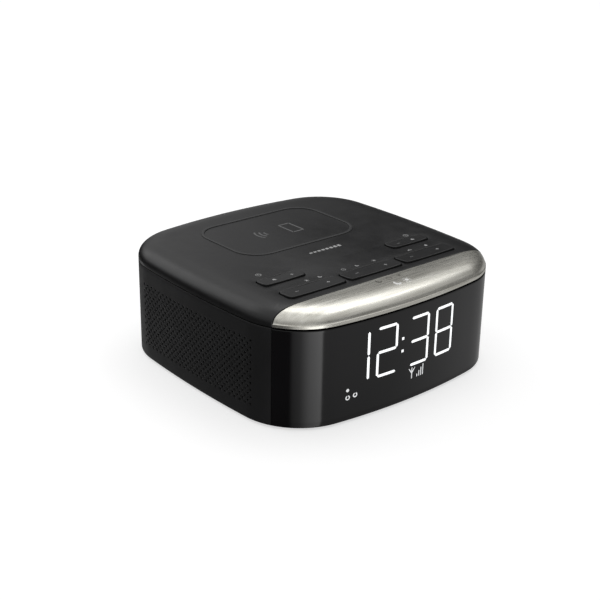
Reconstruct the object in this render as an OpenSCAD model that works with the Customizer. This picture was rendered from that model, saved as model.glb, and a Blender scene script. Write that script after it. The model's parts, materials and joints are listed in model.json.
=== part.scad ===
// Bedside clock radio with a charging pad on top, a lit display in front and a loudspeaker in each side.
// Millimetres. +X runs to the right along the display, +Y to the back, +Z up. The origin is on the
// surface that the feet stand on, below the middle of the casing.

/* [Casing] */
// Width of the casing, left to right
body_w = 180; // [176:1:190]
// Depth of the casing, front to back
body_d = 180; // [176:1:190]
// Height of the casing without its feet
body_h = 70; // [70:0.5:72]
// Radius of the four corners seen from above
corner_r = 41; // [36:1:46]
// Radius of the gently bowed front and rear sides
front_bow_r = 368; // [300:4:500]
// Radius of the almost straight left and right sides
side_bow_r = 716; // [600:4:900]
// Thickness of the casing's walls
wall = 2.2; // [2:0.1:2.4]
// How far the rounded shoulder reaches in from the side
shoulder_w = 18; // [15:0.5:20]
// Height of the rounded shoulder
shoulder_h = 9.5; // [9:0.25:10]
// Width of the dark line between the cover and the sides
seam_gap = 0.8; // [0.7:0.05:1]
// How far the feet stand out of the base
foot_h = 1.2; // [1:0.1:1.5]

/* [Snooze bar] */
// Depth of the bar, from the front of the casing to its rear edge
bar_depth = 24.7; // [24:0.1:25.5]
// Travel of the bar when it is pressed
bar_travel = 0.6; // [0.3:0.05:0.6]

/* [Keys] */
// Width of each alarm key
alarm_key_w = 30; // [28:0.5:31]
// Depth of each alarm key
alarm_key_d = 9.6; // [9:0.2:10]
// Distance of each alarm key from the middle plane
alarm_key_x = 50; // [49.5:0.25:50]
// Width of each rocker
rocker_w = 41.5; // [40:0.5:42]
// Depth of each rocker
rocker_d = 11.5; // [11:0.25:12]
// Distance from one rocker to the next
rocker_pitch = 44.25; // [43.5:0.25:44.25]
// Gap between a key and the edge of its opening
key_gap = 0.35; // [0.3:0.05:0.4]
// How much higher a key stands at its front edge than at its rear edge
key_rise = 0.7; // [0.5:0.1:1]
// How much the ends of a key stand above its middle
key_dish = 0.8; // [0.4:0.1:1]

/* [Charging pad] */
// Half the width of the raised ring
pad_half_w = 45.4; // [42:0.2:46]
// Half the depth of the raised ring
pad_half_d = 30.9; // [30:0.1:31.5]
// Distance of the ring's middle behind the middle of the casing
pad_y = 33; // [32:0.5:34]
// Corner radius of the ring
pad_r = 17; // [14:0.5:20]
// Width of the ring's raised line
ring_w = 1.7; // [1.4:0.1:2]

/* [Display] */
// Height of the time's digits
digit_h = 28.6; // [26:0.2:29]
// Width of one digit
digit_w = 13.6; // [12:0.2:14]
// Thickness of a digit's strokes
stroke = 2.1; // [1.8:0.1:2.3]

/* [Speaker grilles] */
// Distance between neighbouring holes, along the diagonal
hole_pitch = 3.08; // [3:0.02:3.4]
// Diameter of a hole
hole_d = 1.7; // [1.2:0.1:1.8]

/* [Hidden] */
$fn = 48;

// Colours
BLACK = [0.10, 0.10, 0.10];
GLOSS = [0.04, 0.04, 0.045];
STEEL = [0.70, 0.70, 0.66];
LIT = [0.95, 0.95, 0.92];
BOARD = [0.10, 0.32, 0.18];
CHIP = [0.12, 0.12, 0.13];
COPPER = [0.72, 0.42, 0.22];
WHITE = [0.86, 0.86, 0.84];

// Levels, from the floor up
z_base = foot_h;                        // underside of the casing
z_top = z_base + body_h;                // flat top
z_cover = z_top - shoulder_h;           // lower edge of the cover
z_side = z_cover - seam_gap;            // upper edge of the sides
base_t = 2.2;                           // thickness of the base plate
z_floor = z_base + base_t;              // inside of the base plate
skin = 2;                               // thickness of the cover
z_under = z_top - skin;                 // underside of the cover
part_gap = 0.15;                        // half the line between two neighbouring shells

y_bar = bar_depth - body_d / 2;         // plane that ends the bar, the display window and the sides
big = 400;                              // larger than the whole object

// ---- The plan of the casing: four bowed sides and four corner arcs, tangent to each other ----

front_c = [0, body_d / 2 - front_bow_r];
side_c = [body_w / 2 - side_bow_r, 0];

// Where two circles cross, on the side of the first quadrant
function crossing(c1, r1, c2, r2) =
    let (d = c2 - c1, l = norm(d), e = d / l, k = (r1 * r1 - r2 * r2 + l * l) / (2 * l),
         h = sqrt(r1 * r1 - k * k), m = c1 + e * k, s = [-e.y, e.x] * h)
    (m + s).x + (m + s).y > (m - s).x + (m - s).y ? m + s : m - s;

corner_c = crossing(front_c, front_bow_r - corner_r, side_c, side_bow_r - corner_r);
side_end = atan2(corner_c.y - side_c.y, corner_c.x - side_c.x);
front_start = atan2(corner_c.y - front_c.y, corner_c.x - front_c.x);

function arc(c, r, a0, a1, n) =
    [for (i = [0:n - 1]) let (a = a0 + (a1 - a0) * i / n) c + r * [cos(a), sin(a)]];

function quadrant(inset) = concat(
    arc(side_c, side_bow_r - inset, 0, side_end, 4),
    arc(corner_c, corner_r - inset, side_end, front_start, 10),
    arc(front_c, front_bow_r - inset, front_start, 90, 5));

// The plan, moved inwards by inset, counter-clockwise from the middle of the right side
function outline(inset) =
    let (q = quadrant(inset), n = len(q),
         half = concat(q, [[0, body_d / 2 - inset]], [for (i = [n - 1:-1:1]) [-q[i].x, q[i].y]]))
    concat(half, [for (p = half) -p]);

ring_n = len(outline(0));

module slab(inset, z0, z1) {
    translate([0, 0, z0]) linear_extrude(z1 - z0) polygon(outline(inset));
}

module wall_ring(outer, inner, z0, z1) {
    difference() {
        slab(outer, z0, z1);
        slab(inner, z0 - 1, z1 + 1);
    }
}

// A solid skinned over plans at steps of [inset, height]
module loft(steps) {
    n = ring_n;
    m = len(steps);
    points = [for (s = steps) for (p = outline(s[0])) [p.x, p.y, s[1]]];
    sides = [for (k = [0:m - 2]) for (i = [0:n - 1]) let (j = (i + 1) % n, a = k * n, b = a + n)
        each [[a + i, b + i, b + j], [a + i, b + j, a + j]]];
    polyhedron(points, concat([[for (i = [0:n - 1]) i]], sides, [[for (i = [n - 1:-1:0]) (m - 1) * n + i]]));
}

// The rounded shoulder: a squarish quarter curve from the seam to the flat top
shoulder_steps = 8;
shoulder_power = 0.8;
function shoulder(inset, z0, rise) = [for (k = [0:shoulder_steps]) let (a = 90 * k / shoulder_steps)
    [inset + shoulder_w * (1 - pow(cos(a), shoulder_power)), z0 + rise * pow(sin(a), shoulder_power)]];

module crown_outside() { loft(shoulder(0, z_cover, shoulder_h)); }

module crown_inside() {
    loft(concat([[wall, z_cover - 1]], shoulder(wall, z_cover, shoulder_h - skin)));
}

edge_r = 1.4;
module body_outside() {
    loft([[edge_r, z_base], [0.4 * edge_r, z_base + 0.25 * edge_r], [0.1 * edge_r, z_base + 0.6 * edge_r],
          [0, z_base + 1.15 * edge_r], [0, z_side]]);
}

module front_of(y) { translate([-big / 2, y - big, -big / 2]) cube(big); }
module behind(y) { translate([-big / 2, y, -big / 2]) cube(big); }

module box(low, high) { translate(low) cube(high - low); }

module rod_z(x, y, r, z0, z1) { translate([x, y, z0]) cylinder(r = r, h = z1 - z0); }
module rod_y(x, z, r, y0, y1) { translate([x, y1, z]) rotate([90, 0, 0]) cylinder(r = r, h = y1 - y0); }

module rounded_plan(w, d, r) { offset(r = r, $fn = 40) square([w - 2 * r, d - 2 * r], center = true); }

// A plate whose plan has rounded corners, made of exact boxes and cylinders
module rounded_plate(w, d, r, z0, z1) {
    translate([0, 0, z0]) linear_extrude(z1 - z0) {
        square([w - 2 * r, d], center = true);
        square([w, d - 2 * r], center = true);
        for (x = [-1, 1], y = [-1, 1]) translate([x * (w / 2 - r), y * (d / 2 - r)]) circle(r);
    }
}

// ---- Keys ----

alarm_key_y = -32;
rocker_y = -53.5;
key_r = 2.6;                            // corner radius of a key
z_key_rear = z_top + 0.1;               // rear edge of a key, at its middle
z_skirt = z_top - 3.3;                  // lower edge of a key's skirt
z_ceiling = z_top - 1.5;                // underside of a key's top
key_wall = 1.2;
z_board = z_base + 54.8;                // underside of the key board
board_t = 1.6;
switch_h = 3.5;
plunger_h = 0.8;
z_plunger = z_board + board_t + switch_h + plunger_h;
plate_z0 = z_top - 5.8;                 // key carrier's plate
plate_z1 = z_top - 4.2;
key_travel = 0.5;
rocker_tilt = 1.8;
rocker_arm = 14;                        // from a rocker's pivot to each of its switches
pivot_z = z_top - 3.8;
pivot_r = 1;
post_r = 1.5;
post_x = 9;                             // from an alarm key's middle to its guide posts
bar_post_x = 46;
bar_post_y = -76;
bar_post_r = 2;
bar_switch_x = 24;
bar_switch_y = -74;
slide_gap = 0.08;                       // radial gap of a sliding post
pivot_gap = 0.06;                       // radial gap of a rocker's pivot
rest_gap = 0.05;                        // left between a pressed stem and its switch

rocker_xs = [-rocker_pitch, 0, rocker_pitch];
switch_places = concat(
    [for (x = [-1, 1]) [x * alarm_key_x, alarm_key_y]],
    [for (c = rocker_xs) for (s = [-1, 1]) [c + s * rocker_arm, rocker_y]],
    [for (x = [-1, 1]) [x * bar_switch_x, bar_switch_y]]);

// The cap's outside: a rounded block, its top dished along its length and rising to the front
module key_block(w, d, y) {
    dish_r = w * w / (8 * key_dish);
    slope = atan(key_rise / d);
    difference() {
        translate([0, y, 0]) rounded_plate(w, d, key_r, z_skirt, z_top + 5);
        translate([0, y, z_key_rear + key_rise / 2]) rotate([-slope, 0, 0]) translate([0, 0, dish_r])
            rotate([90, 0, 0]) cylinder(r = dish_r, h = 3 * d, center = true, $fn = 200);
    }
}

module key_shell(w, d, y) {
    difference() {
        key_block(w, d, y);
        translate([0, y, 0])
            rounded_plate(w - 2 * key_wall, d - 2 * key_wall, key_r - key_wall, z_skirt - 1, z_ceiling);
    }
}

module key_opening(w, d, x, y) {
    translate([x, y, 0])
        rounded_plate(w + 2 * key_gap, d + 2 * key_gap, key_r + key_gap, z_under - 3, z_top + 1);
}

module alarm_key() {
    key_shell(alarm_key_w, alarm_key_d, alarm_key_y);
    for (s = [-1, 1]) {
        rod_z(s * post_x, alarm_key_y, post_r, plate_z0 - 2, z_ceiling + 0.5);
        // retaining foot under the cover at each end
        translate([s * (alarm_key_w / 2 + 0.1), alarm_key_y, z_skirt + 0.55])
            cube([2.2, 4, 1.1], center = true);
    }
    rod_z(0, alarm_key_y, post_r, z_plunger + key_travel + rest_gap, z_ceiling + 0.5);
}

module alarm_key_left() { color(BLACK) translate([-alarm_key_x, 0, 0]) alarm_key(); }
module alarm_key_right() { color(BLACK) translate([alarm_key_x, 0, 0]) alarm_key(); }

module rocker() {
    drop = rocker_arm * sin(rocker_tilt);
    key_shell(rocker_w, rocker_d, rocker_y);
    box([-1.6, rocker_y - 2, pivot_z - 1.5], [1.6, rocker_y + 2, z_ceiling + 0.5]);
    rod_y(0, pivot_z, pivot_r, rocker_y - 4.2, rocker_y + 4.2);
    for (s = [-1, 1]) rod_z(s * rocker_arm, rocker_y, post_r, z_plunger + drop + rest_gap, z_ceiling + 0.5);
}

module rocker_left() { color(BLACK) translate([-rocker_pitch, 0, 0]) rocker(); }
module rocker_middle() { color(BLACK) rocker(); }
module rocker_right() { color(BLACK) translate([rocker_pitch, 0, 0]) rocker(); }

// The screws that hold the key carrier and the key board under the cover
carrier_screw_places = [for (x = [-69, 69], y = [-60, -23.6]) [x, y]];
guide_xs = [for (k = [-1, 1], s = [-1, 1]) k * alarm_key_x + s * post_x];
stem_hole_r = 2.3;                      // clears a key's stem where it passes the carrier's plate

module key_carrier() {
    ear_in = 2.15;
    ear_out = 3.65;
    color(CHIP) difference() {
        union() {
            box([-71.5, -63.2, plate_z0], [71.5, -21, plate_z1]);
            for (c = rocker_xs, s = [-1, 1])
                let (y0 = rocker_y + (s > 0 ? ear_in : -ear_out), y1 = y0 + ear_out - ear_in) {
                    rod_y(c, pivot_z, 1.8, y0, y1);
                    box([c - 1.8, y0, plate_z1 - 0.1], [c + 1.8, y1, pivot_z]);
                }
            for (x = guide_xs) rod_z(x, alarm_key_y, 3, plate_z0 - 1.5, plate_z1);
            for (p = carrier_screw_places) rod_z(p.x, p.y, 2.4, z_board + board_t, plate_z1);
        }
        for (c = rocker_xs) {
            rod_y(c, pivot_z, pivot_r + pivot_gap, rocker_y - 4.5, rocker_y + 4.5);
            box([c - 2.6, rocker_y - ear_in, plate_z0 - 1], [c + 2.6, rocker_y + ear_in, pivot_z]);
            for (s = [-1, 1]) rod_z(c + s * rocker_arm, rocker_y, stem_hole_r, plate_z0 - 1, plate_z1 + 1);
        }
        for (x = guide_xs) rod_z(x, alarm_key_y, post_r + slide_gap, plate_z0 - 3, plate_z1 + 1);
        for (s = [-1, 1]) rod_z(s * alarm_key_x, alarm_key_y, stem_hole_r, plate_z0 - 1, plate_z1 + 1);
        for (p = carrier_screw_places) rod_z(p.x, p.y, 1.3, z_board, plate_z1 + 1);
    }
}

module key_board() {
    color(BOARD) difference() {
        union() {
            box([-72, -63.2, z_board], [72, -21, z_board + board_t]);
            box([-56, -80, z_board], [56, -63, z_board + board_t]);
        }
        for (p = carrier_screw_places) rod_z(p.x, p.y, 1.3, z_board - 1, z_board + 3);
    }
}

module key_switches() {
    z0 = z_board + board_t;
    for (p = switch_places) {
        color(CHIP) box([p.x - 3, p.y - 3, z0], [p.x + 3, p.y + 3, z0 + switch_h]);
        color(WHITE) rod_z(p.x, p.y, 1.7, z0 + switch_h, z_plunger);
    }
}

module screw(x, y, head_r, shank_r, z_head, head_h, length) {
    color(STEEL) difference() {
        union() {
            rod_z(x, y, head_r, z_head, z_head + head_h);
            rod_z(x, y, shank_r, z_head + head_h, z_head + head_h + length);
        }
        for (a = [0, 90]) translate([x, y, z_head]) rotate(a)
            cube([head_r * 1.2, head_r * 0.3, head_h], center = true);
    }
}

module carrier_screws() {
    for (p = carrier_screw_places) screw(p.x, p.y, 2.2, 1.1, z_board - 1.4, 1.4, 12);
}

// ---- Cover, charging ring, snooze bar ----

pillar_places = [[-76, -50], [76, -50], [-67, 67], [67, 67]];
pillar_r = 3.4;
pad_z = z_base + 4.8;                   // top of the base plate's pads, which the pillars stand on
charging_screw_places = [for (x = [-34, 34], y = [-21, 21]) [x, pad_y + y]];
z_coil_boss = z_under - 3.2;

module ring_shape(grow) {
    difference() {
        rounded_plan(2 * (pad_half_w + grow), 2 * (pad_half_d + grow), pad_r + grow);
        rounded_plan(2 * (pad_half_w - ring_w - grow), 2 * (pad_half_d - ring_w - grow),
                     pad_r - ring_w - grow);
    }
}

ring_depth = 0.5;
ring_proud = 0.35;
module charging_ring() {
    color(CHIP) translate([0, pad_y, z_top - ring_depth])
        linear_extrude(ring_depth + ring_proud) ring_shape(0);
}

module cover_pillars() {
    for (p = pillar_places) difference() {
        rod_z(p.x, p.y, pillar_r, pad_z + 0.1, z_under - 0.3);
        rod_z(p.x, p.y, 1.5, pad_z, pad_z + 12);
    }
}

module top_cover() {
    color(BLACK) difference() {
        union() {
            intersection() {
                difference() {
                    crown_outside();
                    crown_inside();
                }
                behind(y_bar + part_gap);
            }
            // wall behind the snooze bar
            intersection() {
                crown_outside();
                box([-big / 2, y_bar + part_gap, z_cover + 0.1], [big / 2, y_bar + 1.9, z_top]);
            }
            // tongue that fits inside the sides and backs the dark line
            intersection() {
                union() {
                    wall_ring(wall + 0.3, wall + 1.5, z_side - 3.4, z_cover + 1.6);
                    wall_ring(wall - 0.4, wall + 1.5, z_cover + 0.6, z_cover + 1.6);
                }
                behind(y_bar + part_gap);
            }
            cover_pillars();
            for (p = carrier_screw_places) difference() {
                rod_z(p.x, p.y, 2.5, plate_z1, z_under + 0.4);
                rod_z(p.x, p.y, 1.15, plate_z1 - 1, z_under - 0.4);
            }
            for (p = charging_screw_places) difference() {
                rod_z(p.x, p.y, 2.5, z_coil_boss, z_under + 0.4);
                rod_z(p.x, p.y, 1.15, z_coil_boss - 1, z_under - 0.4);
            }
        }
        for (s = [-1, 1]) key_opening(alarm_key_w, alarm_key_d, s * alarm_key_x, alarm_key_y);
        for (c = rocker_xs) key_opening(rocker_w, rocker_d, c, rocker_y);
        translate([0, pad_y, z_top - ring_depth]) linear_extrude(ring_depth + 1) ring_shape(0.05);
    }
}

z_tray0 = z_board + board_t + 1;
z_tray1 = z_tray0 + 1.8;
z_spring = z_tray1 + 2;                 // where the bar's springs stand
z_bar_ceiling = z_top - 3.3;            // where the bar's springs end, under its skin

// The bar's outside: the shoulder behind a low upright lip along the lower edge
lip_h = 1.8;
lip_step = 0.35;
module bar_outside() {
    upper = [for (p = shoulder(0, z_cover, shoulder_h)) if (p[1] > z_cover + lip_h + 0.4)
        [p[0] + lip_step * (z_top - p[1]) / (shoulder_h - lip_h), p[1]]];
    loft(concat([[0, z_cover], [0, z_cover + lip_h], [1.4 * lip_step, z_cover + lip_h + 0.25]], upper));
}

module snooze_bar() {
    color(STEEL) {
        intersection() {
            difference() {
                bar_outside();
                crown_inside();
            }
            front_of(y_bar - part_gap);
        }
        for (s = [-1, 1]) {
            rod_z(s * bar_post_x, bar_post_y, bar_post_r, z_tray0 - 0.2, z_under + 0.2);
            rod_z(s * bar_post_x, bar_post_y, 4.2, z_bar_ceiling, z_under + 0.2);
            rod_z(s * bar_switch_x, bar_switch_y, 1.6, z_plunger + bar_travel + rest_gap, z_under + 0.3);
        }
    }
}

module bar_tray() {
    color(BLACK) difference() {
        union() {
            intersection() {
                slab(wall + 0.4, z_tray0, z_tray1);
                front_of(y_bar - part_gap);
            }
            for (s = [-1, 1]) rod_z(s * bar_post_x, bar_post_y, 4, z_tray0, z_spring);
        }
        for (s = [-1, 1]) {
            rod_z(s * bar_post_x, bar_post_y, bar_post_r + slide_gap, z_tray0 - 1, z_spring + 1);
            translate([s * bar_switch_x, bar_switch_y, z_tray0]) cube([6.6, 6.6, 10], center = true);
        }
    }
}

// A compression spring: a square wire swept along a helix, as one polyhedron
module coil_spring(r, wire, z0, z1, turns) {
    per_turn = 20;
    n = turns * per_turn;
    rise = z1 - z0 - wire;
    corners = [[-1, -1], [1, -1], [1, 1], [-1, 1]] * (wire / 2);
    points = [for (i = [0:n]) let (a = 360 * i / per_turn, z = z0 + wire / 2 + rise * i / n)
        for (c = corners) [(r + c.x) * cos(a), (r + c.x) * sin(a), z + c.y]];
    sides = [for (i = [0:n - 1]) for (k = [0:3]) let (a = 4 * i + k, b = 4 * i + (k + 1) % 4)
        each [[a, b, b + 4], [a, b + 4, a + 4]]];
    polyhedron(points, concat([[3, 2, 1, 0]], sides, [[4 * n, 4 * n + 1, 4 * n + 2, 4 * n + 3]]));
}

module bar_springs() {
    color(STEEL) for (s = [-1, 1]) translate([s * bar_post_x, bar_post_y, 0])
        coil_spring(3, 0.5, z_spring + 0.05, z_bar_ceiling - 0.05, 4);
}

// ---- Sides and grilles ----

grille_y = 57;                          // half the length of a grille panel
grille_z0 = z_base + 5.5;
grille_z1 = z_base + 53.5;
grille_mid = z_base + 29.5;
row_step = hole_pitch / sqrt(2);
hole_rows = 19;
hole_columns = 25;
speaker_z = grille_mid;
speaker_hole = 21;                      // from a speaker's middle to its corner screws, each way
boss_x = body_w / 2 - 5.2;              // face that the speaker's flange stands on
boss_r = 2.1;
jack_x = -30;
usb_x = 30;
port_z = z_base + 16.5;
gland_z = z_base + 18;

module cabinet() {
    color(BLACK) difference() {
        body_outside();
        slab(wall, z_base - 1, z_side + 1);
        front_of(y_bar + part_gap);
        for (s = [-1, 1]) translate([s * 90, 0, 0])
            box([-20, -grille_y - 0.05, grille_z0 - 0.05], [20, grille_y + 0.05, grille_z1 + 0.05]);
        rod_y(jack_x, port_z, 4.6, 70, 100);
        box([usb_x - 7, 70, port_z - 3.3], [usb_x + 7, 100, port_z + 3.3]);
        rod_y(0, gland_z, 2.6, 70, 100);
    }
}

// The holes stop halfway where a boss for the speaker's screws stands behind them
function near_boss(y, z) =
    norm([abs(y) - speaker_hole, abs(z - speaker_z) - speaker_hole]) < boss_r + hole_d / 2;

// A panel of the side wall with staggered holes, and four bosses for the speaker's screws
module grille(side) {
    color(BLACK) {
        difference() {
            intersection() {
                wall_ring(0, wall, grille_z0, grille_z1);
                translate([side * 90, 0, 0]) box([-20, -grille_y, 0], [20, grille_y, z_top]);
            }
            for (j = [0:hole_rows - 1], i = [0:hole_columns - 1 - j % 2])
                let (y = (i - (hole_columns - 1 - j % 2) / 2) * 2 * row_step,
                     z = grille_mid + (j - (hole_rows - 1) / 2) * row_step,
                     x = near_boss(y, z) ? body_w / 2 - 1.3 : 80)
                    translate([side * x, y, z]) rotate([0, side * 90, 0]) cylinder(d = hole_d, h = 15);
        }
        for (y = [-1, 1], z = [-1, 1])
            translate([side * boss_x, y * speaker_hole, speaker_z + z * speaker_hole])
                rotate([0, side * 90, 0]) difference() {
                    cylinder(r = boss_r, h = 3.2);
                    translate([0, 0, -1]) cylinder(r = 0.9, h = 3.4);
                }
    }
}

module grille_left() { grille(-1); }
module grille_right() { grille(1); }

// ---- Display ----

// Outlines of the seven strokes of a digit, a to g, as [x, z] points
function stroke_h(x0, x1, z, t) =
    [[x0, z], [x0 + t, z + t], [x1 - t, z + t], [x1, z], [x1 - t, z - t], [x0 + t, z - t]];
function stroke_v(x, z0, z1, t) =
    [[x, z0], [x - t, z0 + t], [x - t, z1 - t], [x, z1], [x + t, z1 - t], [x + t, z0 + t]];
stroke_gap = 0.3;
function strokes(w, h, t) = let (r = t / 2, g = stroke_gap) [
    stroke_h(r + g, w - r - g, h - r, r),
    stroke_v(w - r, h / 2 + g, h - r - g, r),
    stroke_v(w - r, r + g, h / 2 - g, r),
    stroke_h(r + g, w - r - g, r, r),
    stroke_v(r, r + g, h / 2 - g, r),
    stroke_v(r, h / 2 + g, h - r - g, r),
    stroke_h(r + g, w - r - g, h / 2, r)];

time_digits = [[1, 2], [0, 1, 6, 4, 3], [0, 1, 6, 2, 3], [0, 1, 2, 3, 4, 5, 6]]; // strokes of 1, 2, 3 and 8
digit_xs = [-46.4, -26.1, -1.1, 19.9];
digit_z = z_base + 22.9;
colon_x = -7.6;

module digit_plan(grow) {
    offset(delta = grow) {
        for (i = [0:3]) translate([digit_xs[i], digit_z]) for (k = time_digits[i])
            polygon(strokes(digit_w, digit_h, stroke)[k]);
        for (z = [0.38, 0.63]) translate([colon_x, digit_z + z * digit_h]) square(stroke, center = true);
    }
}

// A radio mast with four rising bars, and two small round lamps with a dot above
module indicator_plan(grow) {
    t = 0.8;
    h = 7;
    offset(delta = grow) translate([-1.6, z_base + 14.3]) {
        translate([2.4 - t / 2, 0]) square([t, h]);
        for (s = [-1, 1])
            polygon([[2.4, h - 3.2], [2.4, h - 4.4], [2.4 + s * 2.4, h - 0.8], [2.4 + s * 2.4, h]]);
        for (i = [0:3]) translate([6.4 + 1.6 * i, 0]) square([t, h * (i + 1) / 4]);
    }
    for (p = [[-46.2, z_base + 14.8], [-41.2, z_base + 15.4]]) translate(p) difference() {
        circle(1.5 + grow);
        circle(0.8 - grow);
        // opening that leaves the middle joined to the window
        translate([-0.35 + grow, 0]) square([0.7 - 2 * grow, 3]);
    }
    translate([-46.4, z_base + 19.4]) circle(1 + grow);
}

// Stands a plan up, with its Y turned to Z, and runs it from the lights to the given depth
module stood(y0, y1) { translate([0, y1, 0]) rotate([90, 0, 0]) linear_extrude(y1 - y0) children(); }

light_y = -79;                          // face of the display board that carries the lights
module digit_segments() {
    color(LIT) intersection() {
        stood(-100, light_y - 0.1) digit_plan(0);
        slab(0, 0, z_top);
    }
}

module indicator_segments() {
    color(LIT) intersection() {
        stood(-100, light_y - 0.1) indicator_plan(0);
        slab(0, 0, z_top);
    }
}

module display_window() {
    color(GLOSS) difference() {
        body_outside();
        slab(wall, z_base - 1, z_side + 1);
        behind(y_bar - part_gap);
        stood(-100, -80) digit_plan(0.03);
        stood(-100, -80) indicator_plan(0.03);
    }
}

aperture_low = [-51, -100, z_base + 11];
aperture_high = [49, -70, z_base + 53.4];

module display_frame() {
    color(BLACK) difference() {
        wall_ring(wall + 0.4, wall + 2, z_floor + 0.2, z_tray0);
        behind(y_bar + 3);
        // room for the key board's tongue, and for the cover's tongue
        box([-57, -100, z_board - 0.6], [57, -50, z_top]);
        box([-big / 2, y_bar - 0.2, z_board - 0.6], [big / 2, y_bar + 10, z_top]);
        box(aperture_low, aperture_high);
    }
}

module display_board() {
    color(BOARD) box([-54, light_y, z_base + 9], [52, light_y + board_t, z_base + 53.6]);
}

module display_reflector() {
    color(CHIP) difference() {
        intersection() {
            box(aperture_low + [0.5, 0, 0.5], [aperture_high.x - 0.5, light_y - 0.05, aperture_high.z - 0.5]);
            slab(wall + 0.2, 0, z_top);
        }
        stood(-100, -70) digit_plan(0.1);
        stood(-100, -70) indicator_plan(0.1);
    }
}

// ---- Base ----

feet_places = [[-55, -60], [55, -60], [-55, 58], [55, 58]];
foot_r = 6;
foot_pocket = 0.8;
cell_c = [-2.5, -20];                   // middle of the coin cell
cell_r = 10;
cell_t = 3.2;
door_low = [-17.8, -33.8];
door_high = [17.8, -6.2];
door_t = 1.6;
door_screw = [15.2, -20];
board_screw_places = [for (x = [-50, 50], y = [18, 72]) [x, y]];
z_main = z_base + 8.8;                  // underside of the main board

module base_plate() {
    color(BLACK) difference() {
        union() {
            slab(wall + 0.3, z_base, z_floor);
            for (p = pillar_places) rod_z(p.x, p.y, 5, z_base + 0.5, pad_z);
            for (p = board_screw_places) rod_z(p.x, p.y, 3, z_base + 0.5, z_main);
            rod_z(door_screw.x, door_screw.y, 2.1, z_base + 1, z_floor + 3.6);
        }
        for (p = pillar_places) {
            rod_z(p.x, p.y, 1.7, 0, pad_z + 1);
            rod_z(p.x, p.y, 3.3, 0, pad_z - 1.6);
        }
        for (p = feet_places) rod_z(p.x, p.y, foot_r + 0.05, 0, z_base + foot_pocket);
        for (p = board_screw_places) rod_z(p.x, p.y, 1.15, z_floor, z_main + 1);
        box([door_low.x - 0.2, door_low.y - 0.2, 0], [door_high.x + 0.2, door_high.y + 0.2, z_base + door_t]);
        box([-16, -32, 0], [11, -8, z_floor + 1]);
        rod_z(door_screw.x, door_screw.y, 1.1, 0, z_floor + 3);
        label_recess(0.1);
    }
}

module base_feet() {
    color(CHIP) for (p = feet_places) rod_z(p.x, p.y, foot_r, 0, z_base + foot_pocket);
}

module base_screws() {
    for (p = pillar_places) screw(p.x, p.y, 2.9, 1.45, pad_z - 3.6, 2, 11);
}

module label_recess(grow) {
    box([-30 - grow, 10 - grow, z_base - 0.1], [30 + grow, 40 + grow, z_base + 0.2 + grow / 10]);
}

module rating_label() { color(WHITE) box([-30, 10, z_base + 0.05], [30, 40, z_base + 0.2]); }

module battery_door() {
    color(BLACK) difference() {
        box([door_low.x, door_low.y, z_base], [door_high.x, door_high.y, z_base + door_t - 0.1]);
        rod_z(door_screw.x, door_screw.y, 1.1, 0, z_floor);
        rod_z(door_screw.x, door_screw.y, 2.15, 0, z_base + 0.8);
        // finger grip
        for (y = [-24, -22, -20, -18, -16]) box([-15, y - 0.4, 0], [-7, y + 0.4, z_base + 0.4]);
    }
}

module battery_door_screw() { screw(door_screw.x, door_screw.y, 2, 1, z_base + 0.1, 0.7, 4.2); }

z_cell = z_floor + 0.6;
module battery_holder() {
    color(CHIP) difference() {
        box([-15.8, -35, z_floor], [10.8, -5, z_cell + cell_t + 1.2]);
        rod_z(cell_c.x, cell_c.y, cell_r + 0.3, z_floor - 1, z_cell + cell_t + 0.3);
        box([-3.5, -21, z_cell], [-1.5, -19, z_top]);
    }
}

module coin_cell() {
    color(STEEL) {
        rod_z(cell_c.x, cell_c.y, cell_r, z_cell, z_cell + cell_t - 0.6);
        rod_z(cell_c.x, cell_c.y, cell_r - 1, z_cell, z_cell + cell_t);
    }
}

module battery_contact() {
    z = z_cell + cell_t;
    color(STEEL) {
        rod_z(cell_c.x, cell_c.y, 4, z + 0.02, z + 0.24);
        box([-3.2, -20.6, z + 0.1], [-1.8, -19.4, z + 4]);
    }
}

// ---- Main board and sockets ----

z_parts = z_main + board_t;
module main_board() {
    color(BOARD) difference() {
        box([-56, 12, z_main], [56, 80, z_parts]);
        for (p = board_screw_places) rod_z(p.x, p.y, 1.3, z_main - 1, z_parts + 1);
    }
}

module board_screws() {
    color(STEEL) for (p = board_screw_places) {
        rod_z(p.x, p.y, 2.2, z_parts, z_parts + 1.3);
        rod_z(p.x, p.y, 1.1, z_parts - 6, z_parts);
    }
}

module board_chips() {
    color(CHIP) {
        box([-12, 38, z_parts], [2, 52, z_parts + 1.4]);
        box([14, 30, z_parts], [22, 36, z_parts + 1.5]);
        box([28, 46, z_parts], [34, 51, z_parts + 1.5]);
        box([-44, 58, z_parts], [-36, 63, z_parts + 1.5]);
    }
}

capacitor_places = [[-40, 30], [-32, 30], [40, 62], [44, 36], [16, 62]];
module board_capacitors() {
    color(CHIP) for (p = capacitor_places) rod_z(p.x, p.y, 3.15, z_parts, z_parts + 9);
}

module board_connectors() {
    color(WHITE) {
        box([-11, 13, z_parts], [11, 17, z_parts + 2.4]);
        box([-41, 13, z_parts], [-24, 17, z_parts + 2.4]);
        for (s = [-1, 1]) box([s * 50 - 3, 26, z_parts], [s * 50 + 3, 34, z_parts + 5]);
    }
}

module tuner_shield() {
    color(STEEL) difference() {
        box([-32, 36, z_parts], [-16, 56, z_parts + 4]);
        box([-31.6, 36.4, z_parts - 1], [-16.4, 55.6, z_parts + 3.6]);
    }
}

module dc_jack() {
    color(CHIP) {
        difference() {
            union() {
                box([jack_x - 4.5, 74.5, z_parts], [jack_x + 4.5, 86, port_z + 5]);
                rod_y(jack_x, port_z, 4.3, 80, 88.4);
            }
            rod_y(jack_x, port_z, 2.85, 78, 95);
        }
        rod_y(jack_x, port_z, 1.05, 77, 87.2);
    }
}

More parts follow.
